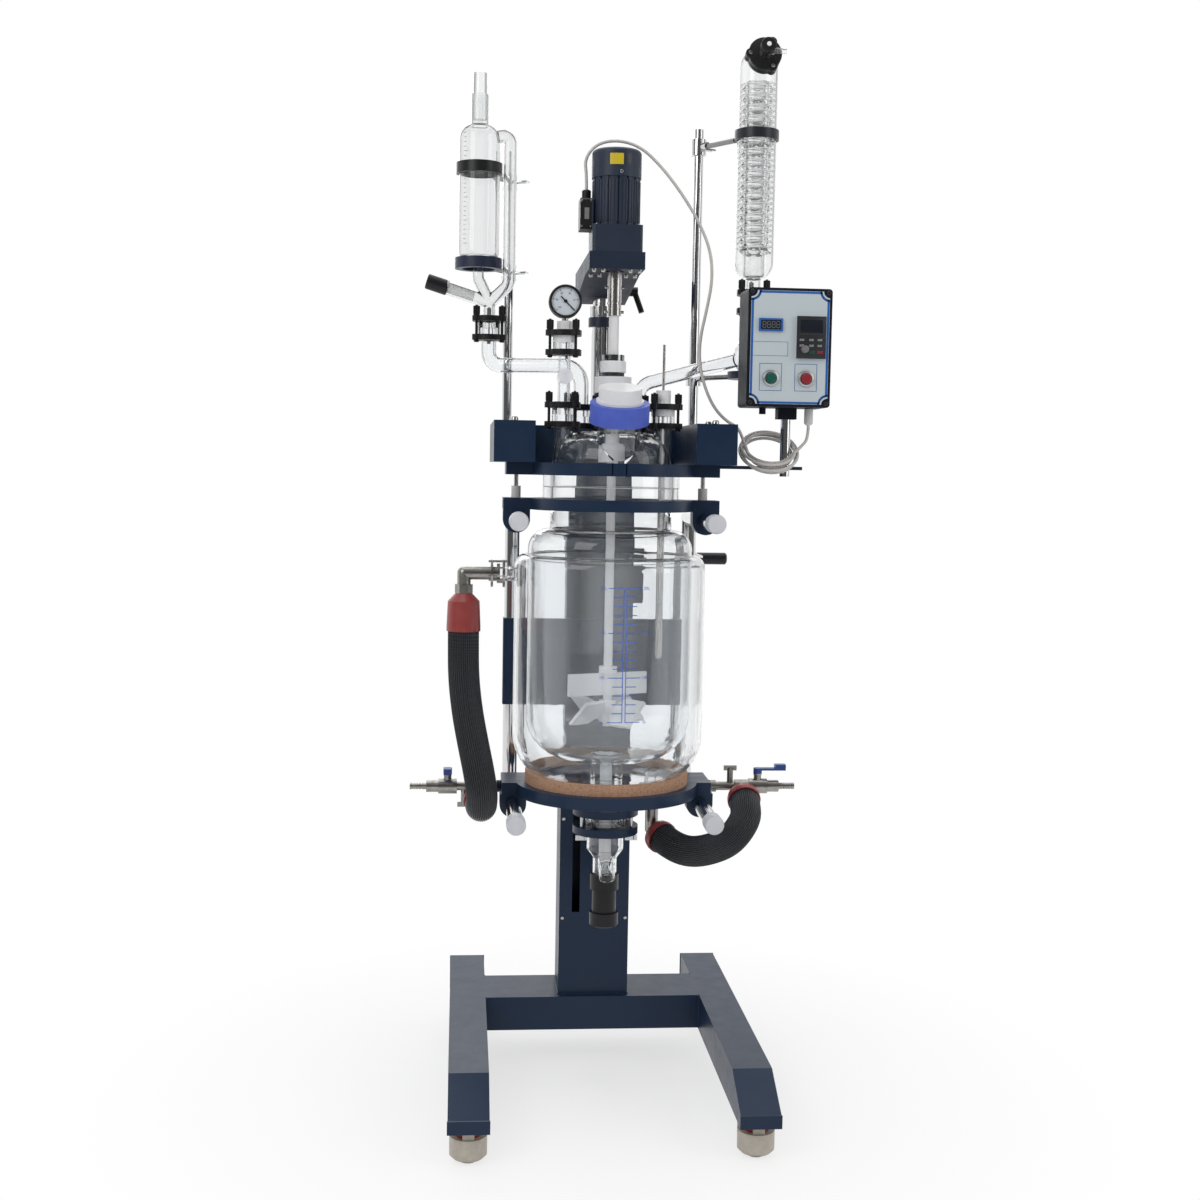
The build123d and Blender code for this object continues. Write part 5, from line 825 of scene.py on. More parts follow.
@dataclass
class Hoses:
    """Heating hoses: each one smooth line through its given points, in layout millimetres."""

    diameter: float = 56.0
    ribs: int = 44
    rib_depth: float = 1.9
    rib_steps: tuple[float, ...] = (0.0, 0.7, 1.0, 0.7)
    cord_ratio: float = 6.0
    left: tuple[Point, ...] = (
        (-262.0, 0.0, 925.1), (-262.0, 0.0, 850.0), (-261.0, -11.0, 790.0), (-254.0, -27.0, 731.0),
        (-243.0, -44.0, 676.0), (-232.0, -58.0, 626.0), (-226.0, -64.0, 588.0), (-227.0, -46.0, 563.0),
        (-228.0, -17.65, 556.74), (-228.0, 10.33, 568.62),
    )
    right: tuple[Point, ...] = (
        (102.97, 34.28, 491.68), (120.04, 2.03, 481.06), (150.0, -34.0, 475.0), (185.0, -50.0, 483.0),
        (222.0, -62.0, 502.0), (251.0, -44.0, 535.0), (256.0, -23.73, 554.16), (256.0, 10.33, 568.62),
    )

    def build(self) -> None:
        for name, points, length in (("hose_left", self.left, 0.435), ("hose_right", self.right, 0.276)):
            hose, route = self.sleeve("sleeve_" + name, points)
            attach(hose, "lift")
            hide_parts(name)

    def section(self, name: str) -> bpy.types.Object:
        """Closed outline of the ribbed sleeve, as a curve object."""
        section = bpy.data.curves.new(name, "CURVE")
        outline = section.splines.new("POLY")
        outline.points.add(len(self.rib_steps) * self.ribs - 1)
        for index, point in enumerate(outline.points):
            angle = 2 * math.pi * index / len(outline.points)
            step = self.rib_steps[index % len(self.rib_steps)]
            r = mm(self.diameter / 2 - self.rib_depth * (1 - step))
            point.co = (r * math.cos(angle), r * math.sin(angle), 0.0, 1.0)
        outline.use_cyclic_u = True
        return put(name, section)

    def sleeve(self, name: str, points: tuple[Point, ...]) -> tuple[bpy.types.Object, list[tuple[float, ...]]]:
        """Ribbed sleeve swept along one smooth line.

        Args:
            name: Name of the piece.
            points: Control points of the line in layout millimetres.

        Returns:
            The mesh piece and the points of its line in metres.
        """
        ring = self.section(name + "_section")
        line = smooth_line(name + "_line", points, 0.0, Sleeve())
        bare = meshed(line)
        route = [tuple(vert.co) for vert in bare.vertices]
        bpy.data.meshes.remove(bare)
        line.data.bevel_mode = "OBJECT"
        line.data.bevel_object = ring
        data = meshed(line)
        data.name = name
        drop(line)
        drop(ring)
        mesh = bmesh.new()
        mesh.from_mesh(data)
        bmesh.ops.recalc_face_normals(mesh, faces=mesh.faces)
        for face in mesh.faces:
            face.smooth = len(face.verts) == 4
        mesh.to_mesh(data)
        mesh.free()
        return put(name, data), route


@dataclass
class DriveCable:
    """Motor cable: over the motor, down to the loose coil at the right arm and up into the control box."""

    r: float = 2.8
    down: tuple[Point, ...] = (
        (-53.0, 0.0, 1652.0), (-53.4, 0.0, 1684.0), (-57.0, 2.0, 1713.0), (-36.0, 4.0, 1740.0),
        (2.0, 4.0, 1748.0), (42.0, 2.0, 1737.0), (78.0, 0.0, 1705.0), (114.0, -2.0, 1661.0),
        (146.0, -2.0, 1613.0), (170.0, -2.0, 1562.0), (176.0, 0.0, 1510.0), (167.0, 4.0, 1455.0),
        (156.0, 7.0, 1403.0), (156.0, 5.0, 1356.0), (167.0, 0.0, 1313.0), (184.0, -2.0, 1279.0),
        (206.0, -2.0, 1257.0), (228.0, -2.0, 1246.0), (238.0, -1.0, 1224.0),
    )
    up: tuple[Point, ...] = ((342.0, -9.0, 1213.0), (355.0, -8.0, 1227.0), (355.0, -8.0, 1252.0))
    coil_middle: Point = (285.0, 0.0, 1204.0)
    coil_r: float = 48.0
    coil_tilt: float = 40.0
    turns: float = 4.5
    per_turn: int = 12
    spread: float = 6.2
    fan: float = 0.5
    first_lie: float = 200.0
    turns_per_lie: int = 5

    def coil(self) -> list[Point]:
        """Control points of the loose turns, which lie round each other and fan out at the bottom."""
        tilt = Matrix.Rotation(math.radians(self.coil_tilt), 3, "X")
        middle = Vector(self.coil_middle)
        points = []
        for step in range(1, round(self.turns * self.per_turn)):
            gone = 2 * math.pi * step / self.per_turn
            angle = math.pi + gone
            lie = math.radians(self.first_lie) + gone / self.turns_per_lie
            loose = self.spread * (1 + self.fan * max(0.0, -math.sin(angle)))
            r = self.coil_r + loose * math.cos(lie)
            flat = Vector((r * math.cos(angle), r * math.sin(angle), loose * math.sin(lie)))
            points.append(tuple(middle + tilt @ flat))
        return points

    def build(self) -> None:
        """Lay the cable as one cord."""
        cable = smooth_line("drive_cable", (*self.down, *self.coil(), *self.up), self.r, CABLE)
        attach(cable, "stand")
        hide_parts("motor_cable", "cord_coil", "box_lead")


@dataclass
class VesselScale:
    """Blue litre scale printed on the front of the inner vessel."""

    r: float = 148.2
    lines: tuple[float, float] = (11.5, 17.0)
    marks: dict[int, float] = field(default_factory=lambda: {20: 963.5, 15: 886.8, 10: 808.8, 5: 731.3})
    reach: float = 26.0
    short_reach: float = 18.0
    width: float = 1.5
    rise: float = 0.2
    bend: float = 5.0
    figure: float = 5.6
    figure_gap: float = 9.0

    def bar(self, shape: Shape, low: tuple[float, float], high: tuple[float, float]) -> None:
        """Printed bar, cut often enough to follow the glass."""
        cuts = max(1, round((high[0] - low[0]) / self.bend)) - 1
        shape.strip(low, high, self.r, self.rise, cuts=cuts)

    def build(self) -> None:
        """Print the two upright lines, the marks and their figures."""
        shape = Shape()
        left, right = self.lines
        half = self.width / 2
        most, least = max(self.marks), min(self.marks)
        top, bottom = self.marks[most], self.marks[least]
        for x in self.lines:
            self.bar(shape, (x - half, bottom - half), (x + half, top + half))
        step = (top - bottom) / (most - least)
        for litre in range(least, most + 1):
            z = bottom + step * (litre - least)
            reach = self.short_reach if litre % 5 else self.reach
            self.bar(shape, (left - reach, z - half), (left, z + half))
            self.bar(shape, (right, z - half), (right + reach, z + half))
        for litre, z in self.marks.items():
            for x in (left - self.reach - self.figure_gap, right + self.reach + self.figure_gap):
                shape.words(f"{litre}L", self.figure, Vector((x, -self.r, z)), wrap=self.r)
        shape.finish("vessel_scale", PRINT_BLUE, "blue_plastic", "lift")


@dataclass
class GaugeFace:
    """Dial of the gauge: white face, ticks, figures and black rim."""

    x: float = -88.84
    y: float = -19.70
    z: float = 1460.0
    r: float = 25.1
    depth: float = 28.0
    recess: float = 4.0
    rim_r: float = 29.1
    ticks: int = 50
    major_each: int = 10
    first: float = -45.0
    sweep: float = 270.0
    figure: float = 3.1
    figure_r: float = 15.2

    def build(self) -> None:
        """Make the face, its print and the rim."""
        front = self.y - self.depth / 2
        dial = front + self.recess
        r, back, rim = self.r, -self.depth, self.rim_r
        turned("gauge_dial", DIAL_WHITE, "ptfe", [(0.0, 0.0), (0.0, r), (0.25, r), (0.25, 0.0)],
               [(self.x, dial, self.z)])
        ink = Shape()
        for step in range(self.ticks + 1):
            angle = math.radians(self.first + self.sweep * step / self.ticks)
            major = step % self.major_each == 0
            inner, half = (r - 5.8, 0.45) if major else (r - 3.2, 0.2)
            spin = placed((self.x, dial - 0.4, self.z), -angle, "Y")
            ink.block((inner, -0.1, -half), (r - 1.6, 0.1, half), spin)
            if major:
                out, up = self.figure_r * math.cos(angle), self.figure_r * math.sin(angle)
                ink.words(str(step * 2), self.figure, Vector((self.x + out, dial - 0.35, self.z + up)))
        ink.finish("gauge_print", PRINT_BLACK, "black_plastic")
        turned("gauge_case", BLACK, "black_plastic", [
            (back - 0.4, 0.0), (back - 0.4, rim - 2), (back + 2, rim), (-1.2, rim), (0.9, rim - 0.8),
            (1.2, rim - 2.0), (0.6, r + 0.4), (-3.4, r + 0.2), (-3.4, r - 0.6), (-5.0, r - 0.6), (-5.0, 0.0),
        ], [(self.x, front, self.z)], steps=64)


@dataclass
class ControlPanel:
    """Front of the control box: border, display, keypad, bezels and corner screws on its pale face."""

    x: float = 306.0
    front: float = -62.0
    keypad_front: float = -68.0
    bottom: float = 1287.0
    top: float = 1485.0
    half: float = 70.0
    notch: float = 14.0
    margin: float = 0.6
    line: float = 3.8
    rise: float = 0.35
    buttons: tuple[tuple[float, float], ...] = ((273.0, 1332.0), (336.0, 1332.0))

    def ring(self, shape: Shape, low: tuple[float, float], high: tuple[float, float], line: float,
             rise: float, notch: float = 0.0) -> None:
        """Thin printed frame round a rectangle.

        Args:
            shape: What it is added to.
            low: Its left lower corner.
            high: Its right upper corner.
            line: Width of the line.
            rise: How far it stands out.
            notch: What is left open on each side of a corner.
        """
        (x0, z0), (x1, z1), y = low, high, self.front
        side = max(line, notch)
        shape.block((x0 + notch, y - rise, z0), (x1 - notch, y, z0 + line))
        shape.block((x0 + notch, y - rise, z1 - line), (x1 - notch, y, z1))
        shape.block((x0, y - rise, z0 + side), (x0 + line, y, z1 - side))
        shape.block((x1 - line, y - rise, z0 + side), (x1, y, z1 - side))

    def build(self) -> None:
        """Make every piece of the panel."""
        left, right = self.x - self.half, self.x + self.half
        border = Shape()
        edge = self.margin
        self.ring(
            border, (left + edge, self.bottom + edge), (right - edge, self.top - edge), self.line, self.rise,
            self.notch - edge)
        for sx, x in ((1, left), (-1, right)):
            for sz, z in ((1, self.bottom), (-1, self.top)):
                self.corner(border, x, z, sx, sz)
        for x, z in self.buttons:
            self.ring(border, (x - 20, z - 22), (x + 20, z + 26), 0.8, 0.3)
        self.ring(border, (239.0, 1371.0), (303.0, 1396.0), 0.6, 0.25)
        border.finish("panel_border", BORDER, "blue_plastic")
        turned("panel_screws", KEYPAD, "black_plastic",
               [(-3.0, 0.0), (-3.0, 4.0), (1.2, 4.0), (2.0, 3.2), (2.0, 1.6), (1.0, 1.5), (1.0, 0.0)],
               [(x, self.front + 2, z) for x in (left + 2, right - 2) for z in (self.bottom + 2, self.top - 2)],
               steps=24)
        self.display()
        self.keypad()
        turned("button_bezels", SILVER, "steel",
               [(3.2, 9.6), (5.0, 9.8), (5.6, 11.4), (4.6, 13.8), (0.0, 14.6), (0.0, 9.6)],
               [(x, self.front, z) for x, z in self.buttons])

    def corner(self, shape: Shape, x: float, z: float, sx: int, sz: int, pieces: int = 8) -> None:
        """Quarter arc of the border round a corner screw.

        Args:
            shape: What it is added to.
            x: The corner's place across.
            z: The corner's height.
            sx: Which way it opens across.
            sz: Which way it opens upwards.
            pieces: Straight pieces it is made of.
        """
        step = math.radians(90 / pieces)
        length = (self.notch + self.line) * step / 2 + 0.3
        half = self.rise / 2
        for index in range(pieces):
            middle = step * (index + 0.5)
            angle = -math.atan2(sz * math.sin(middle), sx * math.cos(middle))
            spin = placed((x, self.front - half, z), angle, "Y")
            shape.block((self.notch, -half, -length), (self.notch + self.line, half, length), spin)

    def display(self) -> None:
        """Framed speed display with plain segment figures."""
        y = self.front - 2.0
        boxes("display_frame", BORDER, "blue_plastic",
              [((249.5, y - 2.5, 1413.6), (292.5, y + 0.4, 1436.4))], bevel=0.6)
        boxes("display_window", DISPLAY, "black_plastic",
              [((253.0, y - 2.9, 1416.8), (289.0, y - 2.2, 1433.2))], bevel=0.2)
        lying = [(0.0, z, 4.6, 0.8) for z in (1419.4, 1424.7, 1430.0)]
        upright = [(dx, z, 0.8, 4.6) for dx in (-0.8, 4.6) for z in (1420.0, 1425.4)]
        boxes("display_digits", SILVER, "steel", [
            ((x + dx, y - 3.1, z), (x + dx + wide, y - 2.8, z + high))
            for x in (256.6, 264.8, 273.0, 281.2) for dx, z, wide, high in lying + upright
        ])

    def keypad(self) -> None:
        """Drive keypad with its window and small keys."""
        y = self.keypad_front
        boxes("keypad_plate", KEYPAD, "black_plastic", [
            ((316.6, y - 0.8, 1367.0), (369.4, y + 0.3, 1441.2)),
            ((319.4, y - 1.6, 1408.0), (366.6, y - 0.6, 1438.0)),
        ], bevel=0.5)
        boxes("keypad_window", DISPLAY, "black_plastic",
              [((323.0, y - 1.9, 1411.5), (363.0, y - 1.4, 1434.5))], bevel=0.2)
        boxes("keypad_keys", SILVER, "steel", [
            ((x - 4.0, y - 1.5, z), (x + 4.0, y - 0.6, z + 3.6))
            for z in (1398.0, 1388.0) for x in (326.0, 343.0, 358.0)
        ], bevel=0.4)
        for name, x, look in (("run_key", 344.0, GREEN), ("halt_key", 359.0, RED)):
            boxes(name, look, "black_plastic",
                  [((x - 5.0, y - 1.7, 1376.0), (x + 5.0, y - 0.6, 1381.0))], bevel=0.5)


@dataclass
class MotorTrim:
    """Small things on the motor and its bracket: blank labels, screws and the plate below."""

    cap_r: float = 44.0
    label_rise: float = 0.25
    cap_screw_r: float = 44.2
    cap_screw_z: float = 1685.0
    bracket_half: float = 42.8
    bracket_z: float = 1517.2
    front: float = 45.2
    back: float = 228.8
    drop: float = 20.1

    def build(self) -> None:
        """Make the labels, the screws and the plate."""
        for name, low, high, look, slot in (
            ("motor_label", (-16.0, 1697.0), (8.0, 1716.0), YELLOW, "ptfe"),
            ("motor_plate", (11.0, 1699.0), (23.0, 1716.0), KEYPAD, "black_plastic"),
        ):
            label = Shape()
            label.strip(low, high, self.cap_r, self.label_rise, self.label_rise / 2, cuts=7)
            label.finish(name, look, slot)
        boxes("junction_label", SILVER, "aluminium", [((-57.5, -24.4, 1604.0), (-49.5, -23.9, 1624.0))])
        rows = [
            ([(x, y, 1594.0) for y in (-37.0, 37.0) for x in (-37.0, 37.0)], UP, 3.4, 1.8),
            ([(x, -24.0, z) for z in (1592.0, 1636.0) for x in (-62.0, -46.0)], FORWARD, 2.0, 1.8),
            ([(x, y, 1517.0) for x in (-40.0, -24.0, 24.0, 40.0) for y in (-38.0, 38.0)], DOWN, 4.0, 6.0),
        ]
        for degrees in (-84.0, 36.0, 156.0):
            across, deep = math.cos(math.radians(degrees)), math.sin(math.radians(degrees))
            place = (self.cap_screw_r * across, self.cap_screw_r * deep, self.cap_screw_z)
            rows.append(([place], (across, deep, 0.0), 3.0, 1.8))
        screws("motor_screws", STEEL, rows)
        self.underside()

    def underside(self) -> None:
        """Plate that closes the bracket's hollow from below, along its sloped edge."""
        run = self.back - self.front
        half = math.hypot(run, self.drop) / 2 - 0.2
        middle = (0.0, (self.front + self.back) / 2, self.bracket_z - self.drop / 2)
        plate = Shape()
        plate.block(
            (-self.bracket_half, -half, 0.0), (self.bracket_half, half, 3.0),
            placed(middle, -math.atan2(self.drop, run), "X"))
        plate.finish("bracket_plate", BRACKET_NAVY, "navy_paint")


@dataclass
class ColumnTrim:
    """Screws of the column's front cover, bolts of the upper frame and beads of the welds."""

    cover_y: float = 207.0
    rows: tuple[float, ...] = (285.0, 483.0, 680.0, 876.0, 997.0)
    half: float = 68.5
    back_y: float = 311.0
    base_top: float = 132.0
    bead_r: float = 2.0

    def build(self) -> None:
        """Make the screws and the weld beads."""
        screws("frame_screws", STEEL, [
            ([(x, self.cover_y, z) for z in self.rows for x in (-62.0, 62.0)], FORWARD, 3.4, 2.0),
            ([(x, y, 1249.0) for x in (-177.0, 177.0) for y in (-62.0, 20.0)], UP, 6.5, 7.0),
        ])
        beads = Shape()
        half, base, front, back = self.half, self.base_top, self.cover_y, self.back_y
        for x in (-211.0, 211.0):
            for y in (191.0, 327.0):
                beads.rod((x, y, 66.0), (x, y, base), 2.2, sides=12)
        lines = [((-half, y, base), (half, y, base)) for y in (front, back)]
        lines += [((x, front, base), (x, back, base)) for x in (-half, half)]
        lines += [((x, 223.0, 1177.0), (x, 223.0, 1249.0)) for x in (-141.0, 141.0)]
        for start, end in lines:
            beads.rod(start, end, self.bead_r, sides=12)
        beads.finish("weld_beads", NAVY, "navy_paint")


@dataclass
class JointTrim:
    """Knurled nuts and hexagon heads of the neck joints, each joint at (x, y, z, turn)."""

    pitch_r: float = 27.0
    joints: tuple[tuple[float, float, float, float], ...] = (
        (0.0, 0.0, 1262.0, 90.0), (-88.84, -19.70, 1262.0, 192.5), (88.84, -19.70, 1262.0, -12.5),
        (-50.89, 75.44, 1262.0, 124.0), (53.49, 73.62, 1262.0, 54.0), (-88.84, -19.70, 1388.0, 192.5),
        (-220.0, 120.0, 1422.0, 90.0), (271.0, 120.0, 1482.0, 90.0),
    )
    r: float = 6.4
    inner_r: float = 5.6
    flutes: int = 18
    height: float = 17.2
    collar: float = 2.4
    seat: float = 22.0
    head_r: float = 4.9
    head_height: float = 4.4

    def knurl(self, shape: Shape, x: float, y: float, z: float) -> None:
        """One fluted nut with a small collar and the bolt's end."""
        part = bmesh.new()
        bmesh.ops.create_circle(part, cap_ends=True, segments=2 * self.flutes, radius=self.r)
        for index, vert in enumerate(sorted(part.verts, key=lambda v: math.atan2(v.co.y, v.co.x))):
            if index % 2:
                vert.co *= self.inner_r / self.r
        top = raised(part, self.height - 3)
        faces = [f for f in part.faces if all(v in top for v in f.verts)]
        bmesh.ops.inset_individual(part, faces=faces, thickness=0.9, depth=0.9)
        bmesh.ops.recalc_face_normals(part, faces=part.faces)
        bmesh.ops.translate(part, verts=part.verts, vec=(x, y, z + self.collar))
        shape.join(part)
        shape.rod((x, y, z), (x, y, z + self.collar + 0.1), self.r - 0.5, sides=24)
        shape.rod((x, y, z + self.height), (x, y, z + self.height + 2.2), 2.2, sides=12)

    def build(self) -> None:
        """Put nuts on every bolt."""
        nuts, heads = Shape(), Shape()
        for x, y, z, turn in self.joints:
            for lobe in range(3):
                angle = math.radians(turn + 120 * lobe)
                bx, by = x + self.pitch_r * math.cos(angle), y + self.pitch_r * math.sin(angle)
                self.knurl(nuts, bx, by, z + self.seat)
                low = z - self.seat
                heads.rod((bx, by, low - self.head_height), (bx, by, low), self.head_r, sides=6)
        nuts.finish("knurled_nuts", BLACK, "black_plastic", sharp=20.0)
        heads.finish("bolt_heads", BLACK, "black_plastic", bevel=0.4)


@dataclass
class CondenserTrim:
    """Black clamp plate over the condenser's head flange, its screws, the knob's dot and the glass coil."""

    x: float = 271.0
    y: float = 120.0
    head_z: float = 1906.0
    tilt: float = 12.0
    reach: float = 48.0
    plate_r: float = 30.5
    lobe_r: float = 8.5
    pitch_r: float = 27.0
    first_lobe: float = 60.0
    thickness: float = 20.7
    knob_end: float = 56.8
    coil_r: float = 30.7
    tube_r: float = 2.3
    coil_low: float = 1574.0
    coil_high: float = 1880.0
    turns: int = 31
    per_turn: int = 20

    def local(self) -> Matrix:
        """Matrix from the head's own axes, Z along its neck, to the layout."""
        tilt = math.radians(self.tilt)
        out = Vector((0, -math.cos(tilt), math.sin(tilt)))
        up = Vector((0, math.sin(tilt), math.cos(tilt)))
        turn = Matrix((Vector((1, 0, 0)), up, out)).transposed().to_4x4()
        tip = Vector((self.x, self.y, self.head_z)) + out * self.reach
        return Matrix.Translation(tip) @ turn

    def outline_r(self, angle: float) -> float:
        """Radius of the three-lobed outline at an angle in radians."""
        best = self.plate_r
        for lobe in range(3):
            away = angle - math.radians(self.first_lobe + 120 * lobe)
            across = self.pitch_r * math.sin(away)
            if math.cos(away) > 0 and abs(across) < self.lobe_r:
                best = max(best, self.pitch_r * math.cos(away) + math.sqrt(self.lobe_r ** 2 - across ** 2))
        return best

    def plate(self) -> None:
        """Lobed plate in two halves with a fine gap line, and its screws."""
        place = self.local()
        shape = Shape()
        middle = self.thickness / 2
        for low, high in ((-0.2, middle - 0.5), (middle + 0.3, self.thickness)):
            part = bmesh.new()
            bmesh.ops.create_circle(part, cap_ends=True, segments=144, radius=1.0)
            for vert in part.verts:
                vert.co *= self.outline_r(math.atan2(vert.co.y, vert.co.x))
            raised(part, high - low)
            bmesh.ops.recalc_face_normals(part, faces=part.faces)
            bmesh.ops.transform(part, matrix=place @ Matrix.Translation((0, 0, low)), verts=part.verts)
            shape.join(part)
        core = tuple(place @ Vector((0, 0, self.thickness - 0.4)))
        shape.rod(tuple(place.translation), core, self.plate_r - 1.2, sides=72)
        shape.finish("head_plate", BLACK, "black_plastic", bevel=0.7)
        out = tuple(place.to_3x3() @ Vector(UP))
        spots = []
        for lobe in range(3):
            angle = math.radians(self.first_lobe + 120 * lobe)
            spot = (self.pitch_r * math.cos(angle), self.pitch_r * math.sin(angle), self.thickness)
            spots.append(tuple(place @ Vector(spot)))
        screws("head_screws", PIPE_STEEL, [(spots, out, 3.6, 3.0)])
        turned("head_knob_dot", WHITE, "ptfe", [(-0.4, 0.0), (-0.4, 4.2), (0.5, 4.2), (0.7, 3.6), (0.7, 0.0)],
               [tuple(place @ Vector((0, 0, self.knob_end)))], out, "condenser_knob_body", steps=32)

    def coil(self) -> None:
        """Glass tube wound round the cooling coil."""
        part = bmesh.new()
        steps = self.per_turn * self.turns
        rise = (self.coil_high - self.coil_low) / steps
        start = Matrix.Translation((self.coil_r, 0, self.coil_low)) @ UPRIGHT
        bmesh.ops.create_circle(part, segments=8, radius=self.tube_r, matrix=start)
        bmesh.ops.spin(
            part, geom=part.verts[:] + part.edges[:], cent=(0, 0, 0), axis=UP, dvec=(0, 0, rise),
            angle=2 * math.pi * self.turns, steps=steps)
        bmesh.ops.holes_fill(part, edges=[e for e in part.edges if e.is_boundary])
        bmesh.ops.recalc_face_normals(part, faces=part.faces)
        bmesh.ops.translate(part, verts=part.verts, vec=(self.x, self.y, 0))
        shape = Shape()
        shape.join(part)
        shape.finish("coil_glass", COIL_GLASS, "glass", sharp=80.0)

    def build(self) -> None:
        """Make the plate and the coil."""
        self.plate()
        self.coil()


@dataclass
class MotorFins:
    """Fine upright cooling fins round the motor's body."""

    count: int = 44
    root_r: float = 39.2
    tip_r: float = 43.0
    width: float = 3.4
    low: float = 1599.0
    high: float = 1673.0

    def build(self) -> None:
        """Set the fins round the body."""
        fins = Shape()
        half = self.width / 2
        for index in range(self.count):
            spin = Matrix.Rotation(2 * math.pi * (index + 0.5) / self.count, 4, "Z")
            fins.block((self.root_r, -half, self.low), (self.tip_r, half, self.high), spin)
        fins.finish("motor_fins", SLATE, "slate_paint", bevel=0.5)


@dataclass
class FunnelScale:
    """Fine graduation printed down the funnel's left side."""

    x: float = -241.0
    y: float = 120.0
    r: float = 37.6
    low: float = 1572.0
    high: float = 1778.0
    steps: int = 25
    turn: float = 222.0
    length: float = 9.0
    short_length: float = 5.0
    pieces: int = 3
    half: float = 0.35
    rise: float = 0.2

    def build(self) -> None:
        """Print the marks, each in short pieces that follow the glass."""
        marks = Shape()
        for step in range(self.steps + 1):
            z = self.low + (self.high - self.low) * step / self.steps
            length = (self.short_length if step % 5 else self.length) / self.pieces
            for part in range(self.pieces):
                angle = math.radians(self.turn) + (part + 0.5) * length / self.r
                reach = length / 2 + 0.02
                marks.block(
                    (self.r, -reach, -self.half), (self.r + self.rise, reach, self.half),
                    placed((self.x, self.y, z), angle, "Z"))
        marks.finish("funnel_scale", PRINT_BLACK, "black_plastic")


@dataclass
class TubeCaps:
    """Frosted caps on the front ends of the lift's tubes."""

    r: float = 16.6
    tube_r: float = 14.15
    reach: float = 26.0
    across: float = 170.0
    ends: tuple[tuple[float, float], ...] = ((-142.0, 1075.5), (-190.0, 561.06))

    def build(self) -> None:
        """Make the four caps."""
        turned("tube_caps", FROSTED, "ptfe", [
            (-self.reach, self.tube_r), (-self.reach, self.r - 0.8), (-self.reach + 1, self.r),
            (5.0, self.r + 0.2), (8.0, self.r - 1.2), (9.4, self.r - 5), (9.8, 0.0), (6.2, 0.0),
            (6.2, self.tube_r),
        ], [(x, y, z) for y, z in self.ends for x in (-self.across, self.across)], body="lift")


@dataclass(frozen=True)
class Lamp:
    """Large soft lamp."""

    name: str
    place: Point
    size: tuple[float, float]
    power: float


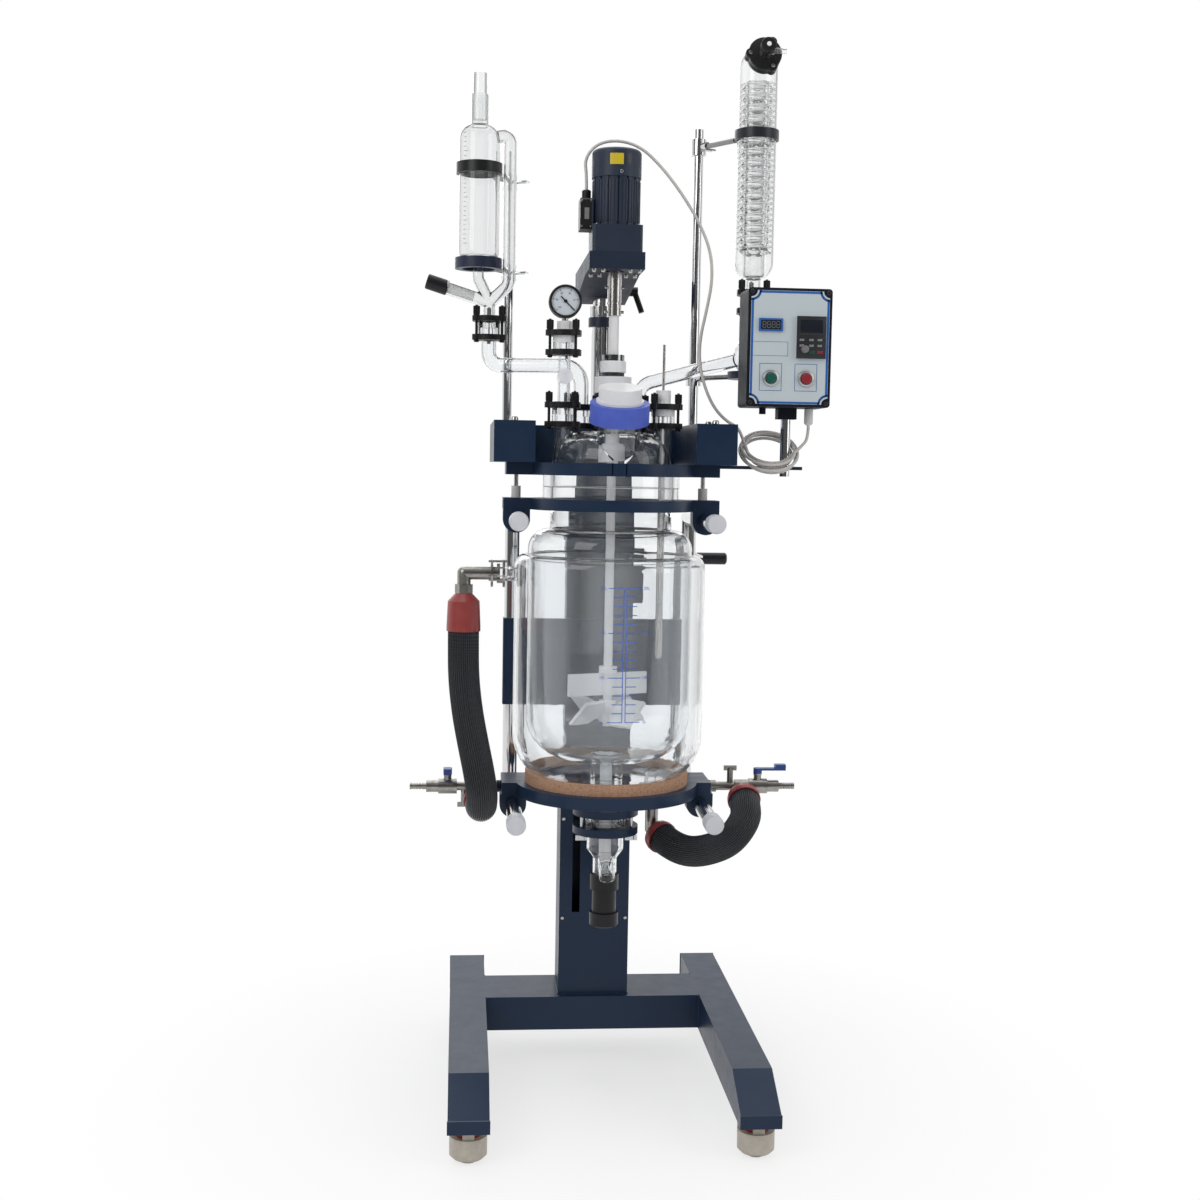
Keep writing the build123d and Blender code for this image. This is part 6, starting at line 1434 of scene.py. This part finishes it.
@dataclass
class Studio:
    """Floor, light and camera."""

    eye: Point = (-269.567, -2859.696, 1169.4)
    yaw: float = 0.0882382
    pitch: float = -0.0828312
    roll: float = 0.0171539
    focal_px: float = 1593.618
    image_px: float = 1200.0
    soft: float = 0.52
    aim: Point = (0, 0, 1.0)
    lamps: tuple[Lamp, ...] = (
        Lamp("key", (-1.9, -2.0, 2.7), (1.4, 2.0), 30.0), Lamp("fill", (2.3, -1.5, 2.0), (1.2, 2.0), 16.0),
        Lamp("top", (0.0, 0.2, 3.6), (2.2, 2.2), 24.0), Lamp("rear", (-0.6, 2.6, 2.4), (2.0, 1.6), 18.0),
    )

    def build(self) -> None:
        """Make the stage and the camera."""
        self.floor()
        self.world()
        self.light()
        self.camera()

    def floor(self) -> None:
        """Plain pale floor that fades to the white of the background."""
        mesh = bmesh.new()
        bmesh.ops.create_circle(mesh, cap_ends=True, segments=96, radius=5.0)
        data = bpy.data.meshes.new("floor")
        mesh.to_mesh(data)
        mesh.free()
        floor = put("floor", data)
        floor.location = (0, 0, -0.0005)
        material = bpy.data.materials.new("floor_white")
        material.use_nodes = True
        wire = Wire(material.node_tree)
        wire.feed(SHADER, {"Base Color": (0.86, 0.86, 0.86, 1.0), "Roughness": 0.9, "Specular IOR Level": 0.1})
        length = wire.node("VectorMath", wire.place("Object"), operation="LENGTH")
        fade = wire.math("MULTIPLY_ADD", (length, "Value"), 0.45, 0.56, clamp=True)
        path = wire.node("LightPath")
        seen = wire.math("MAXIMUM", (path, "Is Camera Ray"), (path, "Is Transmission Ray"))
        seen = wire.math("MAXIMUM", seen, (path, "Is Glossy Ray"))
        share = wire.math("MULTIPLY", fade, seen)
        mixer = wire.node("MixShader", share, (SHADER, "BSDF"), (wire.node("Emission"), "Emission"))
        wire.feed("Material Output", {"Surface": (mixer, "Shader")})
        data.materials.append(material)

    def world(self) -> None:
        """White background, seen with darker strips by gloss and glass, and a soft plain light."""
        world = bpy.data.worlds.new("studio")
        world.use_nodes = True
        world.node_tree.nodes.clear()
        wire = Wire(world.node_tree)
        split = wire.node("SeparateXYZ", wire.place("Generated"))
        ahead, above = (split, "Y"), (split, "Z")
        backdrop = wire.math("MULTIPLY_ADD", ahead, 1.9, 0.55, clamp=True)
        overhead = wire.math("MULTIPLY_ADD", above, 1.4, -0.7, clamp=True)
        gloss = wire.math("MAXIMUM", backdrop, wire.math("MULTIPLY", overhead, 0.5))
        gloss = wire.math("MULTIPLY_ADD", gloss, 0.90, 0.10)
        across, along = wire.math("ABSOLUTE", (split, "X")), wire.math("ABSOLUTE", ahead)
        square_on = wire.math("MULTIPLY_ADD", wire.math("MAXIMUM", across, along), 4.5, -3.2, clamp=True)
        corner_on = wire.math("MULTIPLY_ADD", wire.math("MULTIPLY", across, along), 8.0, -3.2, clamp=True)
        through = wire.math("MAXIMUM", square_on, wire.math("MULTIPLY", corner_on, 0.45))
        through = wire.math("MULTIPLY_ADD", through, 0.86, 0.12)
        path = wire.node("LightPath")
        bounced = wire.math("GREATER_THAN", (path, "Diffuse Depth"), 0.5)
        through = wire.math("MAXIMUM", through, wire.math("MULTIPLY", bounced, 1.1 * self.soft))
        strength: Feed = self.soft
        for ray, level in (("Is Glossy Ray", gloss), ("Is Transmission Ray", through), ("Is Camera Ray", 1.0)):
            strength = wire.blend((path, ray), strength, level)
        background = wire.node("Background", Color=(1.0, 1.0, 1.0, 1.0), Strength=strength)
        wire.node("OutputWorld", (background, "Background"))
        bpy.context.scene.world = world

    def light(self) -> None:
        """Hang the lamps, which only light: neither the camera nor glass shows them."""
        for lamp in self.lamps:
            light = bpy.data.lights.new(lamp.name, "AREA")
            light.shape = "RECTANGLE"
            light.size, light.size_y = lamp.size
            light.energy = lamp.power
            hung = put(lamp.name, light)
            hung.location = lamp.place
            hung.visible_camera = hung.visible_transmission = False
            hung.rotation_mode = "QUATERNION"
            hung.rotation_quaternion = (Vector(self.aim) - Vector(lamp.place)).to_track_quat("-Z", "Y")

    def camera(self) -> None:
        """Camera at the photograph's place."""
        forward = Vector((
            math.sin(self.yaw) * math.cos(self.pitch), math.cos(self.yaw) * math.cos(self.pitch),
            math.sin(self.pitch)))
        right = Vector((math.cos(self.yaw), -math.sin(self.yaw), 0.0))
        up = right.cross(forward)
        cosine, sine = math.cos(self.roll), math.sin(self.roll)
        across, upward = cosine * right + sine * up, cosine * up - sine * right
        data = bpy.data.cameras.new("camera")
        data.sensor_fit = "HORIZONTAL"
        data.sensor_width = 36.0
        data.lens = data.sensor_width * self.focal_px / self.image_px
        data.clip_start, data.clip_end = 0.05, 60.0
        eye = put("camera", data)
        turn = Matrix((across, upward, -forward)).transposed().to_4x4()
        turn.translation = at(*self.eye)
        eye.matrix_world = turn
        scene = bpy.context.scene
        scene.camera = eye
        scene.view_settings.view_transform = "Standard"


def main() -> None:
    """Build the looks in order and note the sizes."""
    dress()
    for part in (Hoses, DriveCable, VesselScale, GaugeFace, ControlPanel, MotorTrim, ColumnTrim, JointTrim,
                 CondenserTrim, MotorFins, FunnelScale, TubeCaps, Studio):
        part().build()
    bpy.context.view_layer.update()


if __name__ == "__main__":
    logging.basicConfig(level=logging.INFO)
    main()
